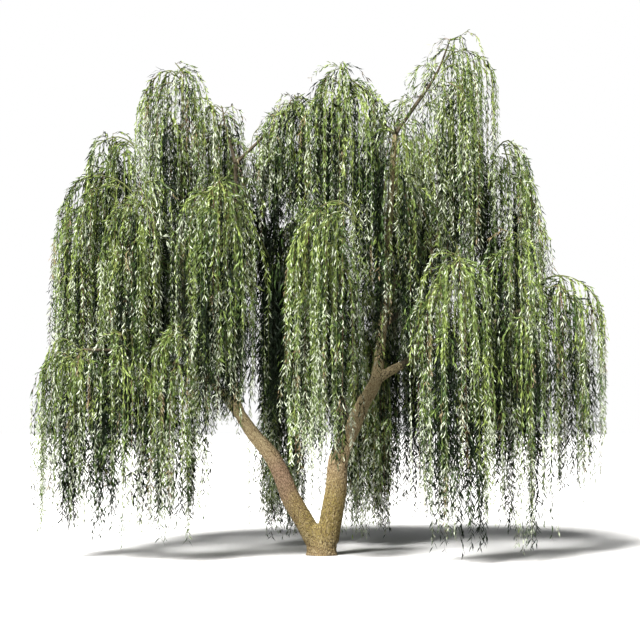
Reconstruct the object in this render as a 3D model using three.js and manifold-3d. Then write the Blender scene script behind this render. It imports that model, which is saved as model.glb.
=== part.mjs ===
// Weeping willow, about 9.6 m tall, standing on level ground.
//
// Millimetres, +Z up. The origin is the middle of the flat cut under the trunk. +X runs along the wide
// side of the crown, towards the tall leader, and -Y is its front.
//
// A short flared trunk forks just above the ground into a left and a right stem. The right stem carries
// on as a tall leader, and boughs leave both stems for the crown. The foliage is a ring of hanging lobes
// and curtains round a hollow, roofed by higher domes. Every limb and lobe is one closed solid.

import * as THREE from 'three';
import { mergeVertices } from 'three/addons/utils/BufferGeometryUtils.js';
import Module from 'manifold-3d';

const wasm = await Module();
wasm.setup();

// ---------------------------------------------------------------- driving dimensions (mm)

const SEAT_GAP = 0.3; // clearance left where one piece sits on or against another
const FORK_HEIGHT = 480; // top of the trunk, where the two stems part
const TRUNK_SIDES = 18;
const LOBE_SIDES = 12;

// Half widths of the trunk across (wide) and from front to back (deep), and the shift of its middle
// to the left, at each height.
const TRUNK_LEVELS = [
  { height: 0, wide: 284, deep: 262, shift: 0, flare: 0.055 },
  { height: 70, wide: 264, deep: 242, shift: -2, flare: 0.03 },
  { height: 170, wide: 268, deep: 230, shift: -6, flare: 0.015 },
  { height: 320, wide: 305, deep: 222, shift: -24, flare: 0 },
  { height: FORK_HEIGHT, wide: 376, deep: 212, shift: -55, flare: 0 },
];
const ROOT_BUTTRESSES = 5; // low swellings of the flare round the foot

// Limbs: the line of the middle, the radius at the start, at each point of the line, and the number
// of sides and steps. A limb that grows from another starts inside it and is trimmed to its bark.
const LIMBS = {
  left_stem: {
    on: ['trunk', 'right_stem'],
    line: [[-140, 0, 260], [-315, -20, 600], [-575, -50, 1050], [-740, -70, 1460], [-935, -100, 1820],
      [-1255, -150, 2200], [-1500, -180, 2560], [-1840, -230, 2960], [-2130, -270, 3380]],
    girth: [178, 174, 170, 158, 142, 122, 98, 76, 66],
    sides: 12,
    steps: 11,
  },
  right_stem: {
    on: ['trunk'],
    line: [[90, 0, 260], [250, 0, 1150], [300, 0, 1720], [435, -20, 2060], [595, -30, 2390], [760, -45, 2760],
      [970, -60, 3120], [1040, -70, 3480]],
    girth: [208, 196, 180, 152, 138, 124, 114, 96],
    sides: 14,
    steps: 13,
  },
  leader: {
    on: ['right_stem'],
    line: [[1030, -70, 3440], [1090, -90, 4000], [1170, -120, 4900], [1240, -120, 6200], [1350, -100, 7740]],
    girth: [94, 84, 74, 60, 44],
    sides: 10,
    steps: 8,
  },
  leader_right_arm: {
    on: ['leader'],
    line: [[1340, -100, 7690], [1660, -110, 8140], [2120, -120, 8830], [2360, -110, 9440]],
    girth: [40, 34, 24, 14],
    sides: 8,
    steps: 7,
  },
  leader_left_arm: {
    on: ['leader', 'leader_right_arm'],
    line: [[1345, -100, 7690], [1060, -120, 7960], [850, -140, 8420]],
    girth: [36, 28, 20],
    sides: 8,
    steps: 5,
  },
  right_low_bough: {
    on: ['right_stem', 'leader'],
    line: [[980, -70, 3180], [1300, -90, 3360], [1700, -100, 3560], [2500, -60, 3920], [3600, 40, 4420],
      [4500, 100, 4700]],
    girth: [84, 74, 66, 56, 42, 28],
    sides: 8,
    steps: 9,
  },
  right_high_bough: {
    on: ['leader'],
    line: [[1150, -110, 4700], [1800, 40, 5500], [2700, 220, 6350], [3500, 300, 7000]],
    girth: [58, 48, 36, 24],
    sides: 7,
    steps: 7,
  },
  right_front_bough: {
    on: ['right_low_bough'],
    line: [[1560, -100, 3490], [1740, -550, 3930], [2000, -1250, 4550], [2200, -1740, 4960]],
    girth: [56, 50, 38, 28],
    sides: 8,
    steps: 7,
  },
  centre_front_bough: {
    on: ['right_stem'],
    line: [[300, 0, 1640], [330, -320, 2300], [300, -730, 3510], [200, -1310, 4740], [120, -1560, 5560]],
    girth: [92, 68, 52, 38, 26],
    sides: 8,
    steps: 9,
  },
  upper_left_limb: {
    on: ['left_stem'],
    line: [[-1450, -170, 2460], [-1550, -100, 2800], [-1610, 0, 3300], [-1600, 160, 4600], [-1600, 240, 6000],
      [-1610, 260, 7300]],
    girth: [76, 68, 62, 54, 46, 36],
    sides: 8,
    steps: 9,
  },
  upper_left_arm: {
    on: ['upper_left_limb'],
    line: [[-1608, 260, 7240], [-1760, 330, 7750], [-1880, 380, 8180]],
    girth: [30, 24, 16],
    sides: 8,
    steps: 4,
  },
  upper_right_arm: {
    on: ['upper_left_limb', 'upper_left_arm'],
    line: [[-1608, 260, 7230], [-1180, 290, 7640], [-700, 320, 8150], [-420, 330, 8400]],
    girth: [32, 26, 19, 12],
    sides: 8,
    steps: 5,
  },
  left_bough: {
    on: ['left_stem'],
    line: [[-2090, -260, 3320], [-2330, -230, 3900], [-2540, 0, 4900], [-2600, 250, 6200]],
    girth: [62, 58, 48, 38],
    sides: 8,
    steps: 7,
  },
  lower_left_bough: {
    on: ['left_stem', 'left_bough'],
    line: [[-1980, -250, 3130], [-2600, -410, 3420], [-3520, -590, 3660], [-4330, -700, 3630]],
    girth: [52, 44, 34, 24],
    sides: 8,
    steps: 7,
  },
  left_outer_bough: {
    on: ['left_bough'],
    line: [[-2330, -220, 3880], [-2860, -120, 4240], [-3420, 80, 4760], [-3900, 250, 5300]],
    girth: [44, 38, 30, 22],
    sides: 7,
    steps: 7,
  },
  left_front_bough: {
    on: ['left_bough'],
    line: [[-2360, -220, 4000], [-2630, -530, 4710], [-2970, -840, 5630]],
    girth: [40, 34, 24],
    sides: 7,
    steps: 5,
  },
  centre_left_bough: {
    on: ['upper_left_limb'],
    line: [[-1608, 30, 3600], [-1630, -590, 4510], [-1690, -1380, 5860]],
    girth: [46, 40, 26],
    sides: 7,
    steps: 6,
  },
  back_left_bough: {
    on: ['upper_left_limb'],
    line: [[-1570, -70, 2920], [-1950, 900, 3700], [-2350, 2000, 4900], [-2500, 2500, 5800]],
    girth: [52, 44, 34, 24],
    sides: 7,
    steps: 7,
  },
  back_centre_bough: {
    on: ['right_stem'],
    line: [[510, -20, 2130], [330, 900, 3000], [0, 2300, 4400], [-350, 3200, 5600]],
    girth: [76, 60, 44, 28],
    sides: 7,
    steps: 7,
  },
  back_right_bough: {
    on: ['leader'],
    line: [[1110, -100, 4150], [1510, 500, 4520], [1760, 1600, 5060], [1860, 2800, 5560]],
    girth: [56, 48, 36, 24],
    sides: 7,
    steps: 7,
  },
  back_outer_right_bough: {
    on: ['right_low_bough'],
    line: [[1700, -90, 3640], [2500, 700, 4200], [3400, 1600, 4800], [3800, 2000, 5100]],
    girth: [38, 34, 26, 18],
    sides: 7,
    steps: 6,
  },
};

// Limbs that stay whole where foliage closes round them.
const WHOLE_LIMBS = ['trunk', 'left_stem', 'right_stem', 'leader'];

// Foliage lobes, in the order in which they are kept whole: each one is trimmed to those before it.
// at = middle of the lobe, top = height of its dome, hem = height of its lowest tips, wide and deep =
// half widths across and from front to back, lean = shift of the dome from the middle.
const LOBES = {
  right_front_curtain: { at: [2290, -1850], top: 5490, hem: 280, wide: 820, deep: 900, lean: [80, 100] },
  centre_front_curtain: { at: [-30, -1780], top: 6100, hem: 1350, wide: 460, deep: 760, lean: [0, 100] },
  centre_left_curtain: { at: [-1720, -1920], top: 6710, hem: 2350, wide: 540, deep: 720, lean: [-50, 150] },
  lower_left_front_lobe: { at: [-3420, -1520], top: 4080, hem: 340, wide: 550, deep: 760, lean: [60, 120] },
  lower_left_inner_lobe: { at: [-2620, -1490], top: 4280, hem: 340, wide: 440, deep: 760, lean: [260, 150] },
  left_front_curtain: { at: [-3220, -1020], top: 6700, hem: 2910, wide: 690, deep: 810, lean: [60, 150] },
  right_outer_curtain: { at: [3500, -1240], top: 5800, hem: 260, wide: 550, deep: 860, lean: [-40, 120] },
  lower_left_lobe: { at: [-4380, -730], top: 3910, hem: 340, wide: 660, deep: 900, lean: [110, 0] },
  right_end_lobe: { at: [4530, 100], top: 5080, hem: 950, wide: 670, deep: 1100, lean: [-60, 0] },
  left_end_lobe: { at: [-4220, 350], top: 6850, hem: 1600, wide: 750, deep: 1200, lean: [-40, 0] },
  top_right_dome: { at: [2600, 100], top: 9600, hem: 4800, wide: 660, deep: 1000, lean: [-100, -100] },
  top_left_dome: { at: [-2680, 400], top: 9180, hem: 4700, wide: 680, deep: 1050, lean: [0, 0] },
  top_centre_dome: { at: [480, -250], top: 8980, hem: 4200, wide: 880, deep: 1150, lean: [-130, 0] },
  left_high_lobe: { at: [-3960, 1150], top: 8000, hem: 5100, wide: 780, deep: 900, lean: [-100, -150] },
  right_high_lobe: { at: [3530, 350], top: 7680, hem: 3900, wide: 580, deep: 1100, lean: [-60, 0] },
  left_arm_lobe: { at: [-1930, 900], top: 8500, hem: 5600, wide: 330, deep: 560, lean: [0, -60] },
  right_arm_lobe: { at: [-830, 450], top: 8520, hem: 5400, wide: 580, deep: 850, lean: [320, 0] },
  centre_right_curtain: { at: [1400, -720], top: 7900, hem: 3150, wide: 340, deep: 620, lean: [-90, 60] },
  inner_left_curtain: { at: [-710, 1200], top: 6500, hem: 2300, wide: 580, deep: 620, lean: [0, 0] },
  low_back_left_tail: { at: [-800, 1950], top: 4900, hem: 130, wide: 290, deep: 380, lean: [0, 0] },
  low_back_right_tail: { at: [880, 2010], top: 5200, hem: 130, wide: 510, deep: 600, lean: [0, 0] },
  back_left_lobe: { at: [-2450, 2800], top: 6900, hem: 2900, wide: 980, deep: 1000, lean: [60, -100] },
  back_centre_lobe: { at: [-450, 3450], top: 7000, hem: 2100, wide: 1050, deep: 1050, lean: [60, -200] },
  back_right_lobe: { at: [1680, 3350], top: 7200, hem: 800, wide: 1080, deep: 1100, lean: [-60, -200] },
  back_end_left_lobe: { at: [-3850, 2350], top: 6300, hem: 1500, wide: 760, deep: 950, lean: [120, -60] },
  back_end_right_lobe: { at: [3750, 2200], top: 5800, hem: 1600, wide: 900, deep: 1050, lean: [-120, -60] },
  top_back_left_lobe: { at: [-1550, 1750], top: 7800, hem: 4600, wide: 880, deep: 800, lean: [0, 0] },
  top_back_right_lobe: { at: [1750, 1850], top: 8100, hem: 4700, wide: 980, deep: 820, lean: [0, 0] },
};

// Outline of a lobe from its apex to its hem: depth below the top as a share of the height, and the
// width there as a share of the full width.
const LOBE_OUTLINE = [
  [0.03, 0.42], [0.11, 0.76], [0.25, 0.96], [0.5, 1.0], [0.76, 0.93], [1.0, 0.74],
];
const HEM_RISE = 0.04; // how far the middle of the underside stands above the lowest tips
const HEM_RAGGED = 0.12; // how far the tips of the hem differ in length
const LOBE_UNEVEN = 0.13; // how far the sides swell and sink

const BARK = new THREE.MeshStandardMaterial({ color: 0xa98a58, roughness: 0.9, metalness: 0 });
const UPPER_BARK = new THREE.MeshStandardMaterial({ color: 0x8f7a60, roughness: 0.85, metalness: 0 });
const LEAF = new THREE.MeshStandardMaterial({ color: 0x6d7d46, roughness: 0.7, metalness: 0 });

// ---------------------------------------------------------------- shapes

/** A repeatable number between 0 and 1 for each name and index. */
function chance(name, index) {
  let hash = 2166136261 + index * 7919;
  for (const letter of name) hash = Math.imul(hash ^ letter.charCodeAt(0), 16777619);
  hash = Math.imul(hash ^ (hash >>> 15), 2246822507);
  return ((hash ^ (hash >>> 13)) >>> 0) / 4294967296;
}

/** A closed lathe with one ring of points at each level, from the axis to the axis. */
function closedLathe(levels, sides) {
  const profile = [new THREE.Vector2(0, 0)];
  for (let level = 0; level < levels; level += 1) profile.push(new THREE.Vector2(1, level));
  profile.push(new THREE.Vector2(0, levels - 1));
  const lathe = new THREE.LatheGeometry(profile, sides);
  lathe.deleteAttribute('normal');
  lathe.deleteAttribute('uv');
  return mergeVertices(lathe, 1e-4);
}

/** Moves each point of a closed lathe to place(level, angle, onRim). */
function shaped(lathe, place) {
  const points = lathe.attributes.position;
  for (let i = 0; i < points.count; i += 1) {
    const x = points.getX(i);
    const z = points.getZ(i);
    const onRim = Math.hypot(x, z) > 0.5;
    const spot = place(Math.round(points.getY(i)), Math.atan2(x, z), onRim);
    points.setXYZ(i, spot.x, spot.y, spot.z);
  }
  return lathe;
}

/** The solid of a closed geometry, turned the right way out. */
function solidOf(geometry) {
  const points = geometry.attributes.position;
  const faces = geometry.index.array;
  const [a, b, c] = [new THREE.Vector3(), new THREE.Vector3(), new THREE.Vector3()];
  let volume = 0;
  for (let i = 0; i < faces.length; i += 3) {
    a.fromBufferAttribute(points, faces[i]);
    b.fromBufferAttribute(points, faces[i + 1]);
    c.fromBufferAttribute(points, faces[i + 2]);
    volume += a.dot(b.cross(c));
  }
  const triangles = Uint32Array.from(faces);
  if (volume < 0) {
    for (let i = 0; i < triangles.length; i += 3) [triangles[i], triangles[i + 1]] = [triangles[i + 1], triangles[i]];
  }
  const vertices = Float32Array.from(points.array);
  return new wasm.Manifold(new wasm.Mesh({ numProp: 3, vertProperties: vertices, triVerts: triangles }));
}

/** The trunk: oval rings from the flat foot to the fork, with low buttresses round the foot. */
function trunkSolid(grow = 0) {
  const lathe = closedLathe(TRUNK_LEVELS.length, TRUNK_SIDES);
  return solidOf(shaped(lathe, (index, angle, onRim) => {
    const level = TRUNK_LEVELS[index];
    const ridge = 1 + level.flare * Math.cos(ROOT_BUTTRESSES * angle + 0.7);
    const reach = onRim ? 1 : 0;
    return new THREE.Vector3(
      level.shift + reach * (level.wide * ridge + grow) * Math.sin(angle),
      reach * (level.deep * ridge + grow) * Math.cos(angle),
      level.height + (index === TRUNK_LEVELS.length - 1 ? grow : 0),
    );
  }));
}

/** A tapering limb along a smooth line. */
function limbSolid(name, grow = 0) {
  const { line, girth, sides, steps } = LIMBS[name];
  const curve = new THREE.CatmullRomCurve3(line.map((point) => new THREE.Vector3(...point)), false, 'centripetal');
  const frames = curve.computeFrenetFrames(steps, false);
  const lathe = closedLathe(steps + 1, sides);
  return solidOf(shaped(lathe, (index, angle, onRim) => {
    const along = index / steps;
    const knot = curve.getUtoTmapping(along) * (girth.length - 1);
    const low = Math.min(Math.floor(knot), girth.length - 2);
    const swell = 1 + 0.04 * (chance(name, index) - 0.5);
    const radius = THREE.MathUtils.lerp(girth[low], girth[low + 1], knot - low) * swell + grow;
    const centre = curve.getPointAt(along);
    if (index === steps) centre.addScaledVector(frames.tangents[index], grow);
    if (!onRim) return centre;
    return centre
      .addScaledVector(frames.normals[index], radius * Math.cos(angle))
      .addScaledVector(frames.binormals[index], radius * Math.sin(angle));
  }));
}

/** A hanging lobe of foliage: a dome above a long skirt with a ragged hem and a raised underside. */
function lobeSolid(name, grow = 0) {
  const { at, top, hem, wide, deep, lean } = LOBES[name];
  const height = top - hem;
  const turn = [0, 1, 2].map((index) => chance(name, index) * 2 * Math.PI);
  const levels = LOBE_OUTLINE.length;
  const lathe = closedLathe(levels, LOBE_SIDES);
  return solidOf(shaped(lathe, (index, angle, onRim) => {
    const level = levels - 1 - index; // the lathe rises from the hem to the apex
    const [drop, width] = LOBE_OUTLINE[level];
    const side = Math.round((angle / (2 * Math.PI)) * LOBE_SIDES + LOBE_SIDES) % LOBE_SIDES;
    const toDome = 1 - drop;
    const middle = [at[0] + lean[0] * toDome, at[1] + lean[1] * toDome];
    if (!onRim) {
      const height0 = index === 0 ? hem + HEM_RISE * height - grow : top + grow;
      return new THREE.Vector3(middle[0], middle[1], height0);
    }
    const uneven = 1 + LOBE_UNEVEN * (0.6 * Math.sin(2 * angle + turn[0]) + 0.4 * Math.sin(3 * angle + turn[1] + 2 * drop)
      + 0.5 * (chance(name, 20 + side * levels + level) - 0.5));
    const ragged = index === 0 ? HEM_RAGGED * height * chance(name, 200 + side) - grow : 0;
    return new THREE.Vector3(
      middle[0] + (wide * width * uneven + grow) * Math.sin(angle),
      middle[1] + (deep * width * uneven + grow) * Math.cos(angle),
      top - drop * height + ragged + (level === 0 ? grow : 0),
    );
  }));
}

/** The largest single body of a solid, so that a limb keeps the length that is joined to its parent. */
function mainBody(solid) {
  const bodies = solid.decompose();
  return bodies.reduce((best, body) => (body.volume() > best.volume() ? body : best));
}

/** A named mesh of a solid. */
function meshOf(name, solid, material) {
  const { vertProperties, triVerts } = solid.getMesh();
  const geometry = new THREE.BufferGeometry();
  geometry.setAttribute('position', new THREE.BufferAttribute(vertProperties, 3));
  geometry.setIndex(new THREE.BufferAttribute(triVerts, 1));
  geometry.computeVertexNormals();
  const mesh = new THREE.Mesh(geometry, material);
  mesh.name = name;
  return mesh;
}

// ---------------------------------------------------------------- assembly

const limbAt = (name, grow) => (name === 'trunk' ? trunkSolid(grow) : limbSolid(name, grow));
const boxesMeet = (a, b) => [0, 1, 2].every((axis) => a.max[axis] >= b.min[axis] && b.max[axis] >= a.min[axis]);

/** A solid with its neighbours, each grown by the seat gap, cut away where they meet it. */
function trimmed(solid, neighbours) {
  let rest = solid;
  for (const neighbour of neighbours) {
    if (boxesMeet(rest.boundingBox(), neighbour.boundingBox())) rest = rest.subtract(neighbour);
  }
  return mainBody(rest);
}

const limbs = { trunk: trunkSolid() };
for (const name of Object.keys(LIMBS)) {
  limbs[name] = trimmed(limbSolid(name), LIMBS[name].on.map((parent) => limbAt(parent, SEAT_GAP)));
}

const wholeLimbs = WHOLE_LIMBS.map((name) => limbAt(name, SEAT_GAP));
const lobes = {};
const grownLobes = [];
for (const name of Object.keys(LOBES)) {
  lobes[name] = trimmed(lobeSolid(name), [...wholeLimbs, ...grownLobes]);
  grownLobes.push(lobeSolid(name, SEAT_GAP));
}
for (const name of Object.keys(LIMBS)) {
  if (!WHOLE_LIMBS.includes(name)) limbs[name] = trimmed(limbs[name], grownLobes);
}

const willow = new THREE.Group();
willow.name = 'weeping_willow';
const wood = new THREE.Group();
const foliage = new THREE.Group();
willow.add(wood, foliage);
for (const [name, solid] of Object.entries(limbs)) {
  wood.add(meshOf(name, solid, WHOLE_LIMBS.includes(name) ? BARK : UPPER_BARK));
}
for (const [name, solid] of Object.entries(lobes)) foliage.add(meshOf(name, solid, LEAF));

export default willow;
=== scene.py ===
"""Weeping willow: barked limbs, arching boughs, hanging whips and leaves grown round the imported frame."""

import logging
import math
from dataclasses import dataclass, field
from enum import Enum
from typing import Iterable, Sequence

import bmesh
import bpy
import numpy as np
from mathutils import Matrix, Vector


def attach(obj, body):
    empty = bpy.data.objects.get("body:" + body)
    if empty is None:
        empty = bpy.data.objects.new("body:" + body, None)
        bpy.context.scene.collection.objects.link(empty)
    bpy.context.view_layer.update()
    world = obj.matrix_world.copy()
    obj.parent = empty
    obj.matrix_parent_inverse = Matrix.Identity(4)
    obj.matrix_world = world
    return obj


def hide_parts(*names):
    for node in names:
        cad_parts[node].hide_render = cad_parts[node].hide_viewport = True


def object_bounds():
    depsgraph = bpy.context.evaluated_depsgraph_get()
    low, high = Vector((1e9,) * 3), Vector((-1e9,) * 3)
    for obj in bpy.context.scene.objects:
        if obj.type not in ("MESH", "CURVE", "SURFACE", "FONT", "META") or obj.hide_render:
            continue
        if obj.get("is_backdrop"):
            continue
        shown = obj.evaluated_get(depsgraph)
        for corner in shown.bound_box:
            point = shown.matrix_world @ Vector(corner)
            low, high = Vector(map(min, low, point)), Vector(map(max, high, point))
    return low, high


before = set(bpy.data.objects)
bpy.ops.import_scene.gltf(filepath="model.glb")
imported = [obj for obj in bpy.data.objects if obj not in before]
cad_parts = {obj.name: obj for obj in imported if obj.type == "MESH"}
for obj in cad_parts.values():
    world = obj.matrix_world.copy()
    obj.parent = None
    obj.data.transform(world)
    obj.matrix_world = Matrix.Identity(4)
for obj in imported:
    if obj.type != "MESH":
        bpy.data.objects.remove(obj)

LOG = logging.getLogger("willow")
TURN = 2 * math.pi
GRAIN_SHARE = 0.5
GRAIN_GAP = 10.0
COARSE_FROM = 0.2
# Past this much painted shade a whip gets the shoot of painted shade, no pale leaves, and it does not arch.
PAINTED_SHADE_FROM = 0.5
WHITE = (1, 1, 1, 1)
SPARE_ATTRIBUTES = ("leaf_", "whip_")


# ---------------------------------------------------------------- lines and meshes


def run_along(line: np.ndarray) -> np.ndarray:
    """Finds the length along a line at each of its points."""
    return np.concatenate([[0.0], np.cumsum(np.linalg.norm(np.diff(line, axis=0), axis=1))])


def at_run(at: float | np.ndarray, run: np.ndarray, line: np.ndarray) -> np.ndarray:
    """Finds the points that stand at given lengths along a line."""
    return np.stack([np.interp(at, run, line[:, axis]) for axis in range(3)], axis=-1)


def smooth_line(points: Sequence[Sequence[float]], count: int) -> np.ndarray:
    """Runs a smooth curve through a few points.

    Args:
        points: The points of the line, in metres.
        count: How many points to return, evenly spread along the curve.

    Returns:
        An array of count points.
    """
    knots = np.asarray(points, float)
    if len(knots) == 2:
        return knots[0] + np.linspace(0, 1, count)[:, None] * (knots[1] - knots[0])
    chord = np.sqrt(np.linalg.norm(np.diff(knots, axis=0), axis=1))
    times = np.concatenate([[0.0], np.cumsum(chord)])
    slopes = np.gradient(knots, times, axis=0)
    fine = np.linspace(0, times[-1], count * 6)
    cell = np.clip(np.searchsorted(times, fine, side="right") - 1, 0, len(knots) - 2)
    width = (times[cell + 1] - times[cell])[:, None]
    t = ((fine - times[cell])[:, None]) / width
    curve = (
        (2 * t**3 - 3 * t**2 + 1) * knots[cell]
        + (t**3 - 2 * t**2 + t) * width * slopes[cell]
        + (-2 * t**3 + 3 * t**2) * knots[cell + 1]
        + (t**3 - t**2) * width * slopes[cell + 1]
    )
    run = run_along(curve)
    return at_run(np.linspace(0, run[-1], count), run, curve)


def unit(vectors: np.ndarray) -> np.ndarray:
    """Scales each vector to length one."""
    return vectors / np.maximum(np.linalg.norm(vectors, axis=-1, keepdims=True), 1e-9)


def frames_along(line: np.ndarray) -> tuple[np.ndarray, np.ndarray]:
    """Finds the directions across a line that don't twist about it.

    Args:
        line: The points of the line.

    Returns:
        The first and second cross direction at each point.
    """
    tangents = unit(np.gradient(line, axis=0))
    first = np.zeros_like(tangents)
    start = np.array([0.0, 1.0, 0.0]) if abs(tangents[0][1]) < 0.9 else np.array([1.0, 0.0, 0.0])
    first[0] = unit(start - tangents[0] * start.dot(tangents[0]))
    for i in range(1, len(line)):
        first[i] = unit(first[i - 1] - tangents[i] * first[i - 1].dot(tangents[i]))
    return first, np.cross(tangents, first)


def new_object(name: str, data: bpy.types.ID) -> bpy.types.Object:
    """Links a mesh, lamp or camera into the scene at the origin."""
    thing = bpy.data.objects.new(name, data)
    bpy.context.scene.collection.objects.link(thing)
    return thing


def mesh_from(name: str, points: np.ndarray, faces: Sequence[Sequence[int]]) -> bpy.types.Mesh:
    """Makes a mesh from points and faces."""
    mesh = bpy.data.meshes.new(name)
    mesh.from_pydata([tuple(p) for p in points], [], [tuple(f) for f in faces])
    mesh.update()
    return mesh


def cloud_from(name: str, points: np.ndarray, links: np.ndarray | None = None) -> bpy.types.Mesh:
    """Makes a mesh of loose points, or of points that edges link."""
    mesh = bpy.data.meshes.new(name)
    mesh.vertices.add(len(points))
    mesh.vertices.foreach_set("co", np.ascontiguousarray(points, np.float32).ravel())
    if links is not None:
        mesh.edges.add(len(links))
        mesh.edges.foreach_set("vertices", links.astype(np.int32).ravel())
    mesh.update()
    return mesh


def put_attribute(mesh: bpy.types.Mesh, name: str, kind: str, values: np.ndarray) -> None:
    """Stores one value for each point of a mesh.

    Args:
        mesh: The mesh.
        name: The attribute's name.
        kind: FLOAT, INT, FLOAT_VECTOR or QUATERNION.
        values: One row for each point.
    """
    store = mesh.attributes.new(name, kind, "POINT")
    word = "vector" if kind == "FLOAT_VECTOR" else "value"
    flat = np.ascontiguousarray(values, np.int32 if kind == "INT" else np.float32).ravel()
    store.data.foreach_set(word, flat)


def plain_mesh(thing: bpy.types.Object, name: str) -> bpy.types.Object:
    """Turns an object with modifiers into a plain one and removes the first.

    Args:
        thing: The object with its modifiers.
        name: The plain object's name.

    Returns:
        The plain object.
    """
    graph = bpy.context.evaluated_depsgraph_get()
    mesh = bpy.data.meshes.new_from_object(thing.evaluated_get(graph), depsgraph=graph)
    mesh.name = name
    bpy.data.objects.remove(thing, do_unlink=True)
    for spare in [a.name for a in mesh.attributes if a.name.startswith(SPARE_ATTRIBUTES)]:
        mesh.attributes.remove(mesh.attributes[spare])
    return new_object(name, mesh)


def settle(thing: bpy.types.Object, nodes: Iterable[str] = ()) -> bpy.types.Object:
    """Fixes a finished piece to the tree and reports it.

    Args:
        thing: The finished piece.
        nodes: The frame's nodes that it stands for.

    Returns:
        The same piece.
    """
    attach(thing, "root")
    nodes = list(nodes)
    if nodes:
        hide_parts(*nodes)
    triangles = sum(len(p.vertices) - 2 for p in thing.data.polygons)
    LOG.info("%s: %d triangles, stands for %d nodes", thing.name, triangles, len(nodes))
    return thing


# ---------------------------------------------------------------- node trees


@dataclass
class TreeMaker:
    """A small hand for building node trees."""

    tree: bpy.types.NodeTree

    def node(self, kind: str, settings: dict | None = None, **inputs: object) -> bpy.types.Node:
        """Adds a node.

        Args:
            kind: The node's type.
            settings: Properties of the node.
            **inputs: Values or output sockets for its inputs, by name with _ for a space.

        Returns:
            The node.
        """
        made = self.tree.nodes.new(kind)
        for key, value in (settings or {}).items():
            setattr(made, key, value)
        for key, value in inputs.items():
            self.feed(made.inputs[key.replace("_", " ")], value)
        return made

    def feed(self, socket: bpy.types.NodeSocket, value: object) -> None:
        """Sets a socket, or links an output to it."""
        if isinstance(value, bpy.types.NodeSocket):
            self.tree.links.new(value, socket)
        else:
            socket.default_value = value

    def math(self, operation: str, *values: object, clamp: bool = False) -> bpy.types.NodeSocket:
        """Adds a Math node and returns its output."""
        made = self.node("ShaderNodeMath", {"operation": operation, "use_clamp": clamp})
        for socket, value in zip(made.inputs, values):
            self.feed(socket, value)
        return made.outputs[0]

    def vector(self, operation: str, *values: object) -> bpy.types.NodeSocket:
        """Adds a Vector Math node and returns its output."""
        made = self.node("ShaderNodeVectorMath", {"operation": operation})
        second = "Scale" if operation == "SCALE" else 1
        for place, value in zip((0, second), values):
            self.feed(made.inputs[place], value)
        return made.outputs["Value" if operation == "DISTANCE" else "Vector"]

    def wander(self, vector: object, fineness: float = 14.0, reach: float = 0.05) -> bpy.types.NodeSocket:
        """Shifts a vector a little by noise, so that what is drawn with it is uneven."""
        noise = self.node("ShaderNodeTexNoise", Vector=vector, Scale=fineness, Detail=3.0)
        return self.vector("ADD", vector, self.vector("SCALE", noise.outputs["Color"], reach))

    def stored(self, kind: str, name: str) -> bpy.types.NodeSocket:
        """Reads a stored attribute in Geometry Nodes."""
        return self.node("GeometryNodeInputNamedAttribute", {"data_type": kind}, Name=name).outputs[0]

    def mix(self, factor: object, first: object, second: object) -> bpy.types.NodeSocket:
        """Mixes two colours and returns the result."""
        made = self.node("ShaderNodeMix", {"data_type": "RGBA"})
        for index, value in ((0, factor), (6, first), (7, second)):
            self.feed(made.inputs[index], value)
        return made.outputs[2]

    def ramp(self, value: object, low: float, high: float, to_low: float = 0.0,
             to_high: float = 1.0) -> bpy.types.NodeSocket:
        """Maps a range of values smoothly onto another."""
        made = self.node("ShaderNodeMapRange", {"interpolation_type": "SMOOTHSTEP"}, Value=value)
        for name, number in (("From Min", low), ("From Max", high), ("To Min", to_low), ("To Max", to_high)):
            made.inputs[name].default_value = number
        return made.outputs[0]


def interface(tree: bpy.types.NodeTree, inputs: dict[str, tuple[str, object]],
              outputs: dict[str, str]) -> tuple[bpy.types.Node, bpy.types.Node]:
    """Gives a node tree its named inputs and outputs.

    Args:
        tree: The tree.
        inputs: Socket type and value for each input name.
        outputs: Socket type for each output name.

    Returns:
        The group's input node and output node.
    """
    for name, (kind, value) in inputs.items():
        socket = tree.interface.new_socket(name, in_out="INPUT", socket_type=kind)
        if value is not None:
            socket.default_value = value
    for name, kind in outputs.items():
        tree.interface.new_socket(name, in_out="OUTPUT", socket_type=kind)
    return tree.nodes.new("NodeGroupInput"), tree.nodes.new("NodeGroupOutput")


def set_input(modifier: bpy.types.Modifier, name: str, value: object) -> None:
    """Sets a Geometry Nodes modifier's input by the identifier of the socket of that name."""
    for item in modifier.node_group.interface.items_tree:
        if item.in_out == "INPUT" and item.name == name:
            modifier[item.identifier] = value


@dataclass
class PieceNodes:
    """A Geometry Nodes group that makes a finished piece out of what an object holds.

    Attributes:
        name: The group's name.
        settings: The socket type and value of each of its inputs besides the geometry.
    """

    name: str
    settings: dict[str, tuple[str, object]]
    make: TreeMaker = field(init=False)
    begin: bpy.types.Node = field(init=False)
    end: bpy.types.Node = field(init=False)

    def __post_init__(self) -> None:
        """Makes the group with its inputs and its output."""
        tree = bpy.data.node_groups.new(self.name, "GeometryNodeTree")
        sockets = {name: (kind, None) for name, (kind, _) in self.settings.items()}
        self.begin, self.end = interface(tree, {"Geometry": ("NodeSocketGeometry", None), **sockets},
                                         {"Geometry": "NodeSocketGeometry"})
        self.make = TreeMaker(tree)

    def put_on(self, thing: bpy.types.Object, geometry: bpy.types.NodeSocket) -> None:
        """Gives the geometry its finish, sends it out and puts the group on an object.

        Args:
            thing: The object.
            geometry: The socket that the shaped geometry comes from.
        """
        whole = self.make.node("GeometryNodeRealizeInstances", Geometry=geometry)
        painted = self.make.node("GeometryNodeSetMaterial", Geometry=whole.outputs[0],
                                 Material=self.begin.outputs["Finish"])
        self.make.feed(self.end.inputs["Geometry"], painted.outputs[0])
        modifier = thing.modifiers.new(self.name, "NODES")
        modifier.node_group = self.make.tree
        for name, (_, value) in self.settings.items():
            set_input(modifier, name, value)


# ---------------------------------------------------------------- finishes


Colour = tuple[float, float, float]
Place = tuple[float, float, float]


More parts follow.
